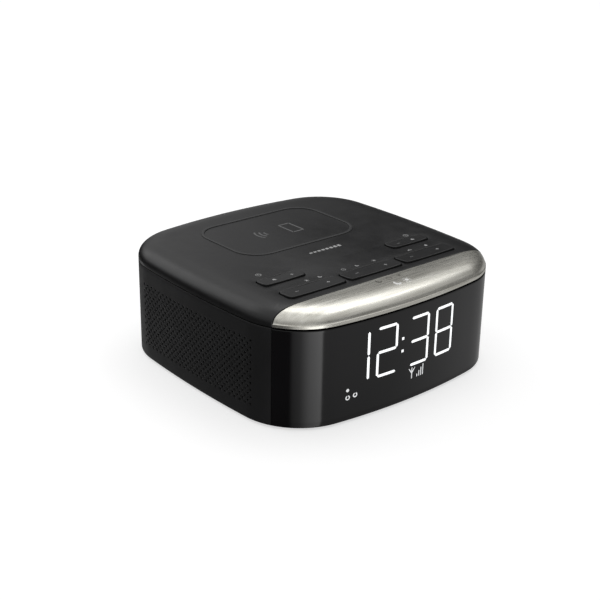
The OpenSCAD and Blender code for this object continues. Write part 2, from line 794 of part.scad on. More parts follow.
module usb_shell() {
    color(STEEL) difference() {
        box([usb_x - 6.6, 74, port_z - 2.9], [usb_x + 6.6, 88.2, port_z + 2.9]);
        box([usb_x - 6.2, 74.6, port_z - 2.5], [usb_x + 6.2, 95, port_z + 2.5]);
    }
    // solder tabs down to the board
    color(STEEL) for (s = [-1, 1])
        box([usb_x + s * 6.3 - 0.3, 76, z_parts], [usb_x + s * 6.3 + 0.3, 84, port_z - 2.6]);
}

module usb_tongue() {
    color(WHITE) box([usb_x - 5.6, 74.6, port_z + 0.3], [usb_x + 5.6, 86.5, port_z + 2.1]);
}

module antenna_gland() {
    color(CHIP) difference() {
        union() {
            rod_y(0, gland_z, 2.5, 84, 89.6);
            rod_y(0, gland_z, 4, 84, 87.6);
        }
        rod_y(0, gland_z, 1, 80, 95);
    }
}

// ---- Charging parts under the pad ----

module charging_bracket() {
    color(CHIP) difference() {
        union() {
            box([-37, pad_y - 24, z_coil_boss - 1.4], [37, pad_y + 24, z_coil_boss]);
            for (p = charging_screw_places) rod_z(p.x, p.y, 2.5, z_coil_boss - 3, z_coil_boss - 1);
        }
        for (p = charging_screw_places) rod_z(p.x, p.y, 1.3, z_coil_boss - 4, z_coil_boss + 1);
    }
}

module ferrite_sheet() { color(CHIP) rod_z(0, pad_y, 21, z_coil_boss, z_coil_boss + 0.6); }

// A flat winding: concentric turns of litz wire joined by a thin carrier
module charging_coil() {
    color(COPPER) translate([0, pad_y, z_coil_boss + 0.6]) rotate_extrude() {
        translate([9.5, 0]) square([11, 0.5]);
        for (i = [0:8]) translate([10.2 + 1.2 * i, 0.7]) circle(0.55, $fn = 24);
    }
}

module charging_board() {
    z = z_coil_boss - 3;
    color(BOARD) difference() {
        box([-37, pad_y - 24, z - board_t], [37, pad_y + 24, z]);
        for (p = charging_screw_places) rod_z(p.x, p.y, 1.3, z - 3, z + 1);
    }
}

module charging_screws() {
    for (p = charging_screw_places) screw(p.x, p.y, 2.1, 1.1, z_coil_boss - 3 - board_t - 1.3, 1.3, 6.6);
}

// ---- Loudspeakers, drawn about their own axis, which points out of the side ----

flange_t = 1.5;
// Places a speaker's parts with its axis pointing out through the side
module at_speaker(side) { translate([side * boss_x, 0, speaker_z]) rotate([0, side * 90, 0]) children(); }

module speaker_frame() {
    color(CHIP) difference() {
        union() {
            difference() {
                translate([-23.5, -23.5, -flange_t]) cube([47, 47, flange_t]);
                for (x = [-1, 1], y = [-1, 1])
                    translate([x * speaker_hole, y * speaker_hole, -5]) cylinder(r = 1.1, h = 10);
            }
            rotate_extrude() polygon([[22, -flange_t], [22, -3], [15, -14], [6, -14], [6, -13],
                                      [14.4, -13], [20.9, -2.8], [20.9, -flange_t]]);
        }
        translate([0, 0, -flange_t - 1]) cylinder(r = 20.9, h = 10);
        for (a = [0:60:300]) rotate(a + 30) translate([17, -4, -11.5]) cube([6, 8, 7]);
    }
}

module speaker_cone() {
    color(BLACK) rotate_extrude() polygon([[17.6, -2.4], [17.6, -1.9], [6.2, -8.6], [4, -6.6], [0, -6],
                                          [0, -6.5], [3.8, -7.1], [5.4, -9], [5.4, -12.8], [6, -12.8],
                                          [6, -9.2]]);
}

module speaker_surround() {
    color(CHIP) rotate_extrude() difference() {
        union() {
            translate([19.2, -1.9]) circle(1.6);
            translate([17.7, -1.9]) square([3.1, 0.4]);
        }
        translate([19.2, -1.9]) circle(1.2);
        translate([17, -4.4]) square([5, 2.5]);
    }
}

module speaker_magnet() {
    color(STEEL) {
        difference() {
            translate([0, 0, -24]) cylinder(r = 15.5, h = 9.9);
            translate([0, 0, -22]) cylinder(r = 6.6, h = 10);
        }
        translate([0, 0, -23]) cylinder(r = 4.8, h = 9.5);
    }
}

module speaker_left_frame() { at_speaker(-1) speaker_frame(); }
module speaker_left_cone() { at_speaker(-1) speaker_cone(); }
module speaker_left_surround() { at_speaker(-1) speaker_surround(); }
module speaker_left_magnet() { at_speaker(-1) speaker_magnet(); }
module speaker_right_frame() { at_speaker(1) speaker_frame(); }
module speaker_right_cone() { at_speaker(1) speaker_cone(); }
module speaker_right_surround() { at_speaker(1) speaker_surround(); }
module speaker_right_magnet() { at_speaker(1) speaker_magnet(); }

module speaker_screws() {
    for (side = [-1, 1], x = [-1, 1], y = [-1, 1])
        at_speaker(side) screw(x * speaker_hole, y * speaker_hole, 1.8, 0.85, -flange_t - 1, 1, 3.4);
}

// ---- Flat cables ----

module ribbon(x0, x1, line, t) {
    translate([x0, 0, 0]) rotate([90, 0, 90]) linear_extrude(x1 - x0)
        polygon(concat(line, [for (i = [len(line) - 1:-1:0]) line[i] + [t * 0.7, t]]));
}

module display_ribbon() {
    y0 = light_y + board_t;
    z1 = z_parts + 1;
    color(WHITE) ribbon(-9, 9, [[y0, z1 + 1], [y0 + 3, z1 + 0.6], [y0 + 7, z1], [12.6, z1]], 0.3);
}

module key_ribbon() {
    z1 = z_parts + 1;
    color(WHITE) ribbon(-40, -25,
                        [[-24, z_board - 0.5], [-24, z1 + 7], [-20, z1 + 1.5], [-14, z1], [12.6, z1]], 0.3);
}

top_cover();
charging_ring();
snooze_bar();
bar_tray();
bar_springs();
alarm_key_left();
alarm_key_right();
rocker_left();
rocker_middle();
rocker_right();
key_carrier();
key_board();
key_switches();
carrier_screws();
cabinet();
grille_left();
grille_right();
display_window();
display_frame();
display_board();
display_reflector();
digit_segments();
indicator_segments();
base_plate();
base_feet();
base_screws();
rating_label();
battery_door();
battery_door_screw();
battery_holder();
coin_cell();
battery_contact();
main_board();
board_screws();
board_chips();
board_capacitors();
board_connectors();
tuner_shield();
dc_jack();
usb_shell();
usb_tongue();
antenna_gland();
charging_bracket();
charging_coil();
ferrite_sheet();
charging_board();
charging_screws();
speaker_left_frame();
speaker_left_cone();
speaker_left_surround();
speaker_left_magnet();
speaker_right_frame();
speaker_right_cone();
speaker_right_surround();
speaker_right_magnet();
speaker_screws();
display_ribbon();
key_ribbon();
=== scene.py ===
"""Looks of the clock radio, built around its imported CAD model.

Shapes are in millimetres until a mesh is made.
"""

import json
import math

import bmesh
import bpy
from mathutils import Matrix, Vector
from mathutils.geometry import delaunay_2d_cdt


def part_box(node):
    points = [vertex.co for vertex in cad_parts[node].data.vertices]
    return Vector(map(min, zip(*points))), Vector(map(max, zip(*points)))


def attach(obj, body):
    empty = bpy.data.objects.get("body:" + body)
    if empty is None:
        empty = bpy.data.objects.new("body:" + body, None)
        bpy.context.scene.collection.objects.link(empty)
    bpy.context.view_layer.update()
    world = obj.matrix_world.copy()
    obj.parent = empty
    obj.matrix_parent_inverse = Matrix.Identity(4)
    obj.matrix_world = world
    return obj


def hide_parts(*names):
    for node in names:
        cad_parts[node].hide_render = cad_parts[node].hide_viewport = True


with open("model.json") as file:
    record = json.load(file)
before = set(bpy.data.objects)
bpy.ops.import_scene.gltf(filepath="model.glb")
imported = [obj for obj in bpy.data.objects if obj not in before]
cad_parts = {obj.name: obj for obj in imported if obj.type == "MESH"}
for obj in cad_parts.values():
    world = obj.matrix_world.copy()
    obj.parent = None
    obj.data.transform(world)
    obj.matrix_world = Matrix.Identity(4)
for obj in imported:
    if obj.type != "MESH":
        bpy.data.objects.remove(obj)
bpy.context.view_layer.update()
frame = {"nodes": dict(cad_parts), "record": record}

MM = 0.001
BODY_OF = {n: body for body, nodes in frame["record"]["behaviour"]["bodies"].items() for n in nodes}
SLOT_OF = {s["node"]: s["material_slot"] for s in frame["record"]["subparts"]}


def span(node):
    """Lowest and highest corner of a CAD node, in millimetres."""
    low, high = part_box(node)
    return low / MM, high / MM


# ---- Sizes: the outer ones come from the frame, the radii are those of the design ----

COVER_LOW, COVER_HIGH = span("top_cover")
SIDES_LOW, SIDES_HIGH = span("cabinet")
WIDTH = SIDES_HIGH.x - SIDES_LOW.x
DEPTH = 2 * SIDES_HIGH.y
Z_BASE = SIDES_LOW.z
Z_SIDE = SIDES_HIGH.z
Z_TOP = COVER_HIGH.z
FRONT_BOW_R = 368
SIDE_BOW_R = 716
CORNER_R = 41
WALL = 2.2
SKIN = 2                                # thickness of the cover and the bar
SHOULDER_W = 18
SHOULDER_H = 9.5
SHOULDER_POWER = 0.8
SHOULDER_STEPS = 36
INNER_SHOULDER_W = 14.8
Z_COVER = Z_TOP - SHOULDER_H            # lower edge of the cover and the bar
Z_UNDER = Z_TOP - SKIN
BOTTOM_R = 1.4                          # rounding along the bottom of the sides
EDGE_R = 0.35                           # rounding of the small edges


# ---- Mesh tools ----


def spread(low, high, n):
    """n + 1 evenly spaced values from low to high."""
    return [low + (high - low) * i / n for i in range(n + 1)]


def quarter(r, n):
    """(inset, drop) along a quarter round of radius r, from an upright face up to a level one."""
    return [(r * (1 - math.cos(a)), r * (1 - math.sin(a))) for a in spread(0, math.pi / 2, n)]


class Mesh:
    """Points and faces in millimetres, gathered until make() turns them into one object."""

    def __init__(self):
        self.points = []
        self.faces = []

    def add(self, points):
        first = len(self.points)
        self.points += [tuple(p) for p in points]
        return list(range(first, len(self.points)))

    def polygon(self, points):
        self.faces.append(tuple(self.add(points)))

    def grid(self, rows, closed=False):
        """Quads between neighbouring rows of points. A closed grid also joins each row's two ends."""
        ids = [self.add(row) for row in rows]
        n = len(rows[0])
        for a, b in zip(ids, ids[1:]):
            for i in range(n if closed else n - 1):
                j = (i + 1) % n
                self.faces.append((a[i], a[j], b[j], b[i]))

    def fill(self, loop, holes=(), axes=(0, 1)):
        """Triangles inside loop and outside holes, as seen along the axis that isn't in axes."""
        a, b = axes

        def turns_left(ring):
            return sum(p[a] * q[b] - q[a] * p[b] for p, q in zip(ring, ring[1:] + ring[:1])) > 0

        loops = [ring if turns_left(ring) else ring[::-1] for ring in (loop, *holes)]
        points = [p for ring in loops for p in ring]
        flat = [Vector((p[a], p[b])) for p in points]
        rings, first = [], 0
        for ring in loops:
            rings.append(list(range(first, first + len(ring))))
            first += len(ring)
        found = delaunay_2d_cdt(flat, [], rings, 0, 1e-7, True)
        ids = self.add([points[origin[0]] for origin in found[3]])
        for face, inside in zip(found[2], found[5]):
            if list(inside) == [0]:
                self.faces.append(tuple(ids[v] for v in face))

    def prism(self, loop, low, high):
        """A closed solid between two surfaces, with a flat outline. low and high map a 2D point to 3D."""
        bottom = [low(*p) for p in loop]
        top = [high(*p) for p in loop]
        self.grid([bottom, top], closed=True)
        for face in (bottom, top):
            spans = [max(p[k] for p in face) - min(p[k] for p in face) for k in range(3)]
            self.fill(face, axes=tuple(k for k in range(3) if k != spans.index(min(spans))))

    def make(self, name, material, sharp=32):
        mesh = bpy.data.meshes.new(name)
        bm = bmesh.new()
        verts = [bm.verts.new(Vector(p) * MM) for p in self.points]
        for face in self.faces:
            corners = [verts[i] for i in dict.fromkeys(face)]
            if len(corners) > 2:
                bm.faces.new(corners)
        bmesh.ops.remove_doubles(bm, verts=bm.verts, dist=2e-6)
        bmesh.ops.dissolve_degenerate(bm, edges=bm.edges, dist=1e-7)
        loose = [v for v in bm.verts if not v.link_faces]
        bmesh.ops.delete(bm, geom=loose, context="VERTS")
        bmesh.ops.recalc_face_normals(bm, faces=bm.faces)
        bm.to_mesh(mesh)
        bm.free()
        mesh.polygons.foreach_set("use_smooth", [True] * len(mesh.polygons))
        mesh.set_sharp_from_angle(angle=math.radians(sharp))
        mesh.materials.append(material)
        obj = bpy.data.objects.new(name, mesh)
        bpy.context.scene.collection.objects.link(obj)
        return obj


def stand_in(obj, *nodes):
    """The piece rides on the body of the CAD nodes that it stands for."""
    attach(obj, BODY_OF[nodes[0]])
    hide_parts(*nodes)
    return obj


def trim(obj, node):
    """A print on a CAD node: it moves with the node and replaces nothing."""
    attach(obj, BODY_OF[node])
    return obj


# ---- The plan: four bowed sides and four corner arcs. u is the length along its right half ----

FRONT_CY = DEPTH / 2 - FRONT_BOW_R
SIDE_CX = WIDTH / 2 - SIDE_BOW_R


def corner_centre():
    """Where the two circles that a corner's centre lies on cross, in the first quadrant."""
    r1, r2 = FRONT_BOW_R - CORNER_R, SIDE_BOW_R - CORNER_R
    dx, dy = SIDE_CX, -FRONT_CY
    length = math.hypot(dx, dy)
    near = (r1 * r1 - r2 * r2 + length * length) / (2 * length)
    off = math.sqrt(r1 * r1 - near * near)
    ex, ey = dx / length, dy / length
    return max((ex * near - s * ey * off, FRONT_CY + ey * near + s * ex * off) for s in (-1, 1))


CORNER_X, CORNER_Y = corner_centre()
SIDE_END = math.atan2(CORNER_Y, CORNER_X - SIDE_CX)
FRONT_START = math.atan2(CORNER_Y - FRONT_CY, CORNER_X)
U_SIDE = SIDE_BOW_R * SIDE_END
U_CORNER = U_SIDE + CORNER_R * (FRONT_START - SIDE_END)
U_MIDDLE = U_CORNER + FRONT_BOW_R * (math.pi / 2 - FRONT_START)


def station(u):
    """(x, y, normal x, normal y) on the right half of the plan. u is negative in front of the middle."""
    length, sign = abs(u), math.copysign(1, u)
    if length <= U_SIDE:
        cx, cy, r, a = SIDE_CX, 0, SIDE_BOW_R, length / SIDE_BOW_R
    elif length <= U_CORNER:
        cx, cy, r, a = CORNER_X, CORNER_Y, CORNER_R, SIDE_END + (length - U_SIDE) / CORNER_R
    else:
        cx, cy, r, a = 0, FRONT_CY, FRONT_BOW_R, FRONT_START + (length - U_CORNER) / FRONT_BOW_R
    return cx + r * math.cos(a), sign * (cy + r * math.sin(a)), math.cos(a), sign * math.sin(a)


def u_at_y(y, inset=0):
    """Where the plan, moved in by inset, has this y, on a side or a corner."""
    a = math.asin(abs(y) / (SIDE_BOW_R - inset))
    if a <= SIDE_END:
        return math.copysign(SIDE_BOW_R * a, y)
    a = math.asin((abs(y) - CORNER_Y) / (CORNER_R - inset))
    return math.copysign(U_SIDE + CORNER_R * (a - SIDE_END), y)


def u_at_x(x):
    """Where the rear or, with a minus sign, the front side of the plan has this x."""
    return U_CORNER + FRONT_BOW_R * (math.acos(abs(x) / FRONT_BOW_R) - FRONT_START)


def at(st, inset, z):
    return st[0] - st[2] * inset, st[1] - st[3] * inset, z


def plan_steps(u0, u1, keep=(), step=2.2):
    """Values of u from u0 to u1, about a step apart, that go through every kept value."""
    low, high = min(u0, u1), max(u0, u1)
    joints = [s * m for s in (-1, 1) for m in (U_SIDE, U_CORNER) if all(abs(s * m - k) > 1 for k in keep)]
    marks = [low]
    for mark in sorted([*keep, *joints, high]):
        if low < mark <= high and mark - marks[-1] > 1e-5:
            marks.append(mark)
    out = [marks[0]]
    for a, b in zip(marks, marks[1:]):
        out += spread(a, b, max(1, round((b - a) / step)))[1:]
    return out if u0 < u1 else out[::-1]


def both_halves(us):
    """Stations along the right half, then back along the left half. The last u is on the middle plane."""
    right = [station(u) for u in us]
    return right + [(-x, y, -nx, ny) for x, y, nx, ny in reversed(right[:-1])]


# ---- Cover and snooze bar: shells under a rounded shoulder, cut by an upright plane ----

LIP_H = 1.8                             # upright lip along the lower edge of the bar
LIP_STEP = 0.35


def shoulder(inset, width, rise):
    """(inset, height) along a squarish quarter curve, from the seam up to the flat top."""
    power = SHOULDER_POWER
    turn = spread(0, math.pi / 2, SHOULDER_STEPS)[:-1]
    curve = [(inset + width * (1 - math.cos(a) ** power), Z_COVER + rise * math.sin(a) ** power)
             for a in turn]
    return curve + [(inset + width, Z_COVER + rise)]


def bar_profile():
    """Lip, crease and then the shoulder, drawn in a little so that it meets the flat top."""
    lip = [(0, Z_COVER + z) for z in spread(0, LIP_H - 0.25, 5)]
    crease = [(0.03, Z_COVER + LIP_H - 0.1), (0.12, Z_COVER + LIP_H), (0.3, Z_COVER + LIP_H + 0.08),
              (0.42, Z_COVER + LIP_H + 0.25)]
    upper = [(i + LIP_STEP * (Z_TOP - z) / (SHOULDER_H - LIP_H), z)
             for i, z in shoulder(0, SHOULDER_W, SHOULDER_H) if z > Z_COVER + LIP_H + 0.6]
    return lip + crease + upper


def along(profile, t):
    """The point at t, from 0 to 1, along a profile."""
    k = min(max(t, 0), 1) * (len(profile) - 1)
    i = min(int(k), len(profile) - 2)
    (a, za), (b, zb) = profile[i], profile[i + 1]
    return a + (b - a) * (k - i), za + (zb - za) * (k - i)


def reach(profile, inset):
    """How far along a profile, from 0 to 1, the inset is still no more than the given one."""
    last = len(profile) - 1
    for i in range(last - 1, -1, -1):
        a, b = profile[i][0], profile[i + 1][0]
        if a <= inset:
            return min(1, (i + (inset - a) / (b - a) if b > a else i + 1) / last)
    return 0


class Skin:
    """Rounded shoulder and flat top on one side of the plane y = cut: 1 for behind it, -1 for before."""

    def __init__(self, mesh, side, cut, profile, holes=()):
        self.side, self.cut, self.profile = side, cut, profile
        self.least, (self.width, z_flat) = profile[0][0], profile[-1]
        u_tip, u_flat = u_at_y(cut, self.least), u_at_y(cut, self.width)
        keep = [u_at_y(cut, inset) for inset, z in profile[::2]] + [u_tip, u_flat]
        ends = (u_flat, U_MIDDLE) if side > 0 else (u_tip, -U_MIDDLE)
        us = plan_steps(*ends, keep=keep)
        stations = [station(u) for u in us]
        rows = [self.row(st) for st in stations]
        mesh.grid(rows + [self.mirror(row) for row in reversed(rows[:-1])])

        near = 1e-6
        lower = [row[0] for row, u in zip(rows, us) if u >= u_tip - near or side < 0]
        ring = [row[-1] for row, u in zip(rows, us) if u <= u_flat + near or side > 0]
        crossed = [u_flat - near <= u <= u_tip + near for u in us]
        cut_rows = [(row, st) for row, st, hit in zip(rows, stations, crossed) if hit]
        if side > 0:
            climb = [(*row[0], -st[3] / st[2]) for row, st in reversed(cut_rows)]
        else:
            tip, st = cut_rows[0]
            climb = [(*p, -st[3] / st[2]) for p in tip]
            climb += [(*row[-1], -st[3] / st[2]) for row, st in cut_rows[1:]]
        climb = [climb[0]] + [b for a, b in zip(climb, climb[1:]) if math.dist(a, b) > 1e-4]
        line = [(x, cut, z_flat) for x in spread(ring[0][0], -ring[0][0], 48)[1:-1]]
        self.lower = lower + self.mirror(lower[:-1][::-1])
        self.border = climb + [(*p, 0) for p in line] + [(-x, y, z, -s) for x, y, z, s in reversed(climb)]
        mesh.fill(ring + self.mirror(ring[:-1][::-1]) + line[::-1], holes)

    def row(self, st):
        """The part of a station's profile that is on this side of the plane."""
        t0, t1 = 0, 1
        if st[3] < 0:
            stop = (st[1] - self.cut) / st[3]
            t = reach(self.profile, min(max(stop, self.least), self.width))
            if self.side > 0 and stop > self.least:
                t0 = t
            if self.side < 0 and stop < self.width:
                t1 = t
        return [at(st, *along(self.profile, t)) for t in spread(t0, t1, len(self.profile) - 1)]

    @staticmethod
    def mirror(points):
        return [(-x, y, z) for x, y, z in points]


def round_over(border, cut):
    """Rows of a quarter round, from a skin's border to the plane."""
    ends = (0, len(border) - 1)

    def neighbour(i, end, away=1.5):
        """The point that far away from point i, towards the given end."""
        j = i
        while j != end and math.dist(border[i], border[j]) < away:
            j += 1 if end else -1
        return border[j]

    rows = []
    for a in spread(0, math.pi / 2, 5):
        row = []
        for i, (x, y, z, slope) in enumerate(border):
            before, after = neighbour(i, ends[0]), neighbour(i, ends[1])
            tx, tz = after[0] - before[0], after[2] - before[2]
            sink = EDGE_R * (1 - math.cos(a)) / math.hypot(tx, tz)
            step = (cut - y) * math.sin(a)
            lift = 0 if i in ends else tx * sink
            row.append((x - tz * sink + slope * step, y + step, z + lift))
        rows.append(row)
    return rows


def cut_shell(mesh, side, cut, profile, openings=()):
    """A closed shell of the crowned top on one side of the plane y = cut."""
    outer = Skin(mesh, side, cut + side * EDGE_R, profile, [o.loop(EDGE_R, Z_TOP) for o in openings])
    hollow = shoulder(WALL, INNER_SHOULDER_W, SHOULDER_H - SKIN)
    inner = Skin(mesh, side, cut, hollow, [o.loop(0, Z_UNDER) for o in openings])
    rounding = round_over(outer.border, cut)
    mesh.grid(rounding)
    mesh.fill(rounding[-1] + [p[:3] for p in reversed(inner.border)], axes=(0, 2))
    to_plane = [row[-1] for row in rounding]
    from_plane = [row[0] for row in reversed(rounding)]
    mesh.fill(from_plane + outer.lower[1:-1] + to_plane + inner.lower[::-1])
    for opening in openings:
        opening.wall(mesh)


def rounded_loop(w, d, r, x=0, y=0, long_steps=10, short_steps=3):
    """A rounded rectangle as a closed loop of 2D points, whose number doesn't depend on the size."""
    r = max(min(r, w / 2 - 0.01, d / 2 - 0.01), 0.01)
    hw, hd = w / 2 - r, d / 2 - r
    centres = [(hw, hd), (-hw, hd), (-hw, -hd), (hw, -hd)]
    out = []
    for k, (cx, cy) in enumerate(centres):
        turn = spread(k * math.pi / 2, (k + 1) * math.pi / 2, 8)
        out += [(x + cx + r * math.cos(a), y + cy + r * math.sin(a)) for a in turn]
        nx, ny = centres[(k + 1) % 4]
        n = long_steps if k % 2 == 0 else short_steps
        x0, y0 = out[-1]
        out += [(x0 + (nx - cx) * i / n, y0 + (ny - cy) * i / n) for i in range(1, n)]
    return out


def disc(x, y, r, n=32):
    return [(x + r * math.cos(a), y + r * math.sin(a)) for a in spread(0, 2 * math.pi, n)[:-1]]


def lifted(loop, z):
    return [(x, y, z) for x, y in loop]


# ---- Keys: rounded caps, dished along their length and rising to the front ----

KEY_GAP = 0.55
KEY_R = 2.6
KEY_RISE = 0.7
KEY_DISH = 0.4
KEY_FILLET = 0.45
Z_KEY = Z_TOP + 0.1 + KEY_RISE / 2      # middle of a cap
Z_SKIRT = Z_TOP - 3.3
ALARM_SIZE = (30, 9.6)
ROCKER_SIZE = (41.5, 11.5)
KEY_SIZES = {"alarm_key_left": ALARM_SIZE, "alarm_key_right": ALARM_SIZE, "rocker_left": ROCKER_SIZE,
             "rocker_middle": ROCKER_SIZE, "rocker_right": ROCKER_SIZE}


class Key:
    def __init__(self, node):
        low, high = span(node)
        self.node = node
        self.w, self.d = KEY_SIZES[node]
        self.x, self.y = (low.x + high.x) / 2, (low.y + high.y) / 2

    def loop(self, grow, z):
        """The edge of the opening around the key, widened by grow."""
        gap = 2 * (KEY_GAP + grow)
        return lifted(rounded_loop(self.w + gap, self.d + gap, KEY_R + gap / 2, self.x, self.y), z)

    def wall(self, mesh):
        """The opening's rounded rim and its wall."""
        rows = [self.loop(grow, Z_TOP - drop) for drop, grow in quarter(EDGE_R, 4)]
        mesh.grid(rows + [self.loop(0, Z_UNDER)], closed=True)

    def top(self, x, y):
        dish = KEY_DISH * ((x - self.x) / (self.w / 2)) ** 2
        return Z_KEY - KEY_RISE * (y - self.y) / self.d + dish

    def cap_loop(self, inset, drop):
        flat = rounded_loop(self.w - 2 * inset, self.d - 2 * inset, KEY_R - inset, self.x, self.y)
        return [(x, y, self.top(x, y) - drop) for x, y in flat]

    def cap(self, material):
        mesh = Mesh()
        skirt = lifted(rounded_loop(self.w, self.d, KEY_R, self.x, self.y), Z_SKIRT)
        crown = [(inset, 0) for inset in (0.9, 1.5, 2.3, 3.2, 4.1)]
        rows = [skirt] + [self.cap_loop(*step) for step in quarter(KEY_FILLET, 5) + crown]
        mesh.grid(rows, closed=True)
        mesh.fill(skirt)
        mesh.fill(rows[-1])
        return stand_in(mesh.make(f"{self.node}_cap", material), self.node)


KEYS = [Key(node) for node in KEY_SIZES]


# ---- Sides: an upright shell that follows the plan, with holes for sound in it ----

HOLE_R = 0.85
HOLE_PITCH = 3.08                       # between a hole and its four neighbours, along the slanted rows
HALF_PITCH = HOLE_PITCH / math.sqrt(2)
GRILLE_Z = Z_BASE + 29.5
COLUMNS = 24                            # half pitches from the middle of the grille to its last hole
ROWS = 9
PORT_Z = Z_BASE + 16.5
GLAND_Z = Z_BASE + 18
PORT_LOW = GRILLE_Z - 9 * HALF_PITCH    # the rear wall's strip that holds the sockets
PORT_HIGH = GRILLE_Z - 3 * HALF_PITCH
EDGE_LEVELS = [Z_BASE + 3.2, Z_BASE + 5.5, Z_SIDE - 2.5, Z_SIDE - 5]    # grid lines outside the grille
WINDOW_DROP = 0.45                      # how far the window's top edge stays below that of the sides


def grille_marks(n):
    """Half pitches at which lines of the wall's grid meet the grille's border."""
    return range(-n - 1, n + 2)


def cells(n_columns, n_rows):
    """(p, q) of each diamond cell of the grille, the halves along its border included."""
    for q in grille_marks(n_rows):
        for p in grille_marks(n_columns):
            if (p + q) % 2:
                yield p, q


def upright_shell(mesh, stations, levels, gap=None, drop=0):
    """A closed wall, its top edge lowered by drop. gap(x, y, z) says where a grid cell is left open."""
    bottom = [(inset, Z_BASE + rise) for rise, inset in quarter(BOTTOM_R, 5)]
    top = [(inset, Z_SIDE - fall - drop) for inset, fall in quarter(EDGE_R, 3)]
    outer = bottom + [(0, z) for z in levels] + top
    profile = outer + [(WALL, z) for i, z in reversed(outer)]
    n = len(profile)
    columns = [[at(st, *step) for step in profile] for st in stations]
    ids = [mesh.add(column) for column in columns]
    for i in range(len(columns) - 1):
        for k in range(n):
            m = (k + 1) % n
            upright = profile[k][0] == profile[m][0]
            if gap and upright:
                a, b = columns[i][k], columns[i + 1][m]
                if gap(*[(a[j] + b[j]) / 2 for j in range(3)]):
                    continue
            mesh.faces.append((ids[i][k], ids[i][m], ids[i + 1][m], ids[i + 1][k]))
    mesh.fill(columns[0], axes=(0, 2))
    mesh.fill(columns[-1], axes=(0, 2))


RIM = ((0.15, 0), (0.04, 0.05), (0, 0.16), (0, WALL))
RIM_GROW = RIM[0][0]


def hole_tube(mesh, point, outline):
    """Rows from a hole's rounded rim through the wall. outline(grow) is its 2D edge, widened by grow."""
    mesh.grid([[point(*p, inset) for p in outline(grow)] for grow, inset in RIM], closed=True)


def side_grille(mesh, side):
    """The perforated field in the left (side -1) or right wall, in diamond cells of one hole each."""

    def point(y, z, inset):
        x, y, z = at(station(u_at_y(y)), inset, z)
        return side * x, y, z

    def node(p, q):
        return p * HALF_PITCH, GRILLE_Z + q * HALF_PITCH

    def edge(a, b, n):
        (ya, za), (yb, zb) = node(*a), node(*b)
        return [(ya + (yb - ya) * i / n, za + (zb - za) * i / n) for i in range(n)]

    n = 3
    for p, q in cells(COLUMNS, ROWS):
        corners = [(p + 1, q), (p, q + 1), (p - 1, q), (p, q - 1)]
        if abs(p) <= COLUMNS and abs(q) <= ROWS:
            cy, cz = node(p, q)
            border = [v for a, b in zip(corners, corners[1:] + corners[:1]) for v in edge(a, b, n)]

            def circle(grow):
                return disc(cy, cz, HOLE_R + grow, 4 * n)

            for inset, grow in ((0, RIM_GROW), (WALL, 0)):
                loops = (border, circle(grow))
                mesh.grid([[point(*v, inset) for v in loop] for loop in loops], closed=True)
            hole_tube(mesh, point, circle)
        else:
            kept = [c for c in corners if abs(c[0]) <= COLUMNS + 1 and abs(c[1]) <= ROWS + 1] + [(p, q)]
            middle = [sum(c[k] for c in kept) / len(kept) for k in (0, 1)]
            kept.sort(key=lambda c: math.atan2(c[1] - middle[1], c[0] - middle[0]))
            loop = []
            for a, b in zip(kept, kept[1:] + kept[:1]):
                slanted = a[0] != b[0] and a[1] != b[1]
                loop += edge(a, b, n if slanted else 1)
            for inset in (0, WALL):
                mesh.polygon([point(*v, inset) for v in loop])


def at_x(x, z, inset, rear=1):
    """The point of the rear wall, or with rear = -1 the front one, at this x and height."""
    px, y, z = at(station(rear * u_at_x(x)), inset, z)
    return math.copysign(1, x) * px, y, z


def port(mesh, stations, levels, x0, x1, outline):
    """The stretch of the rear wall from x0 to x1 around a socket's opening, with that outline."""
    near = 1e-4
    rear = [st for st in stations if st[1] > 0 and x0 - near < st[0] < x1 + near]
    zs = [z for z in levels if PORT_LOW - near < z < PORT_HIGH + near]
    for inset, grow in ((0, RIM_GROW), (WALL, 0)):
        low, high = [[at(st, inset, z) for st in rear] for z in (zs[0], zs[-1])]
        first, last = [[at(st, inset, z) for z in zs[1:-1]] for st in (rear[0], rear[-1])]
        hole = [at_x(*p, inset) for p in outline(grow)]
        mesh.fill(low + last + high[::-1] + first[::-1], [hole], axes=(0, 2))
    hole_tube(mesh, at_x, outline)


# Each opening in the back: (left end, right end, edge of the hole grown by g)
PORTS = [
    (-38, -22, lambda g: disc(-30, PORT_Z, 4.6 + g)),
    (-5, 5, lambda g: disc(0, GLAND_Z, 2.6 + g)),
    (20, 40, lambda g: rounded_loop(14 + 2 * g, 6.6 + 2 * g, 0.5 + g, 30, PORT_Z)),
]


def sides(material):
    mesh = Mesh()
    levels = sorted([GRILLE_Z + q * HALF_PITCH for q in grille_marks(ROWS)] + EDGE_LEVELS)
    keep = [u_at_y(p * HALF_PITCH) for p in grille_marks(COLUMNS)]
    keep += [u_at_x(x) for ends in PORTS for x in ends[:2]]
    stations = both_halves(plan_steps(u_at_y(SIDES_LOW.y), U_MIDDLE, keep=keep))
    grille_y, grille_z = (COLUMNS + 1) * HALF_PITCH, (ROWS + 1) * HALF_PITCH

    def gap(x, y, z):
        in_grille = abs(x) > WIDTH / 3 and abs(y) < grille_y and abs(z - GRILLE_Z) < grille_z
        in_port = y > DEPTH / 3 and PORT_LOW < z < PORT_HIGH and any(p[0] < x < p[1] for p in PORTS)
        return in_grille or in_port

    upright_shell(mesh, stations, levels, gap)
    for side in (-1, 1):
        side_grille(mesh, side)
    for x0, x1, edge in PORTS:
        port(mesh, stations, levels, x0, x1, edge)
    return stand_in(mesh.make("cabinet_shell", material), "cabinet", "grille_left", "grille_right")


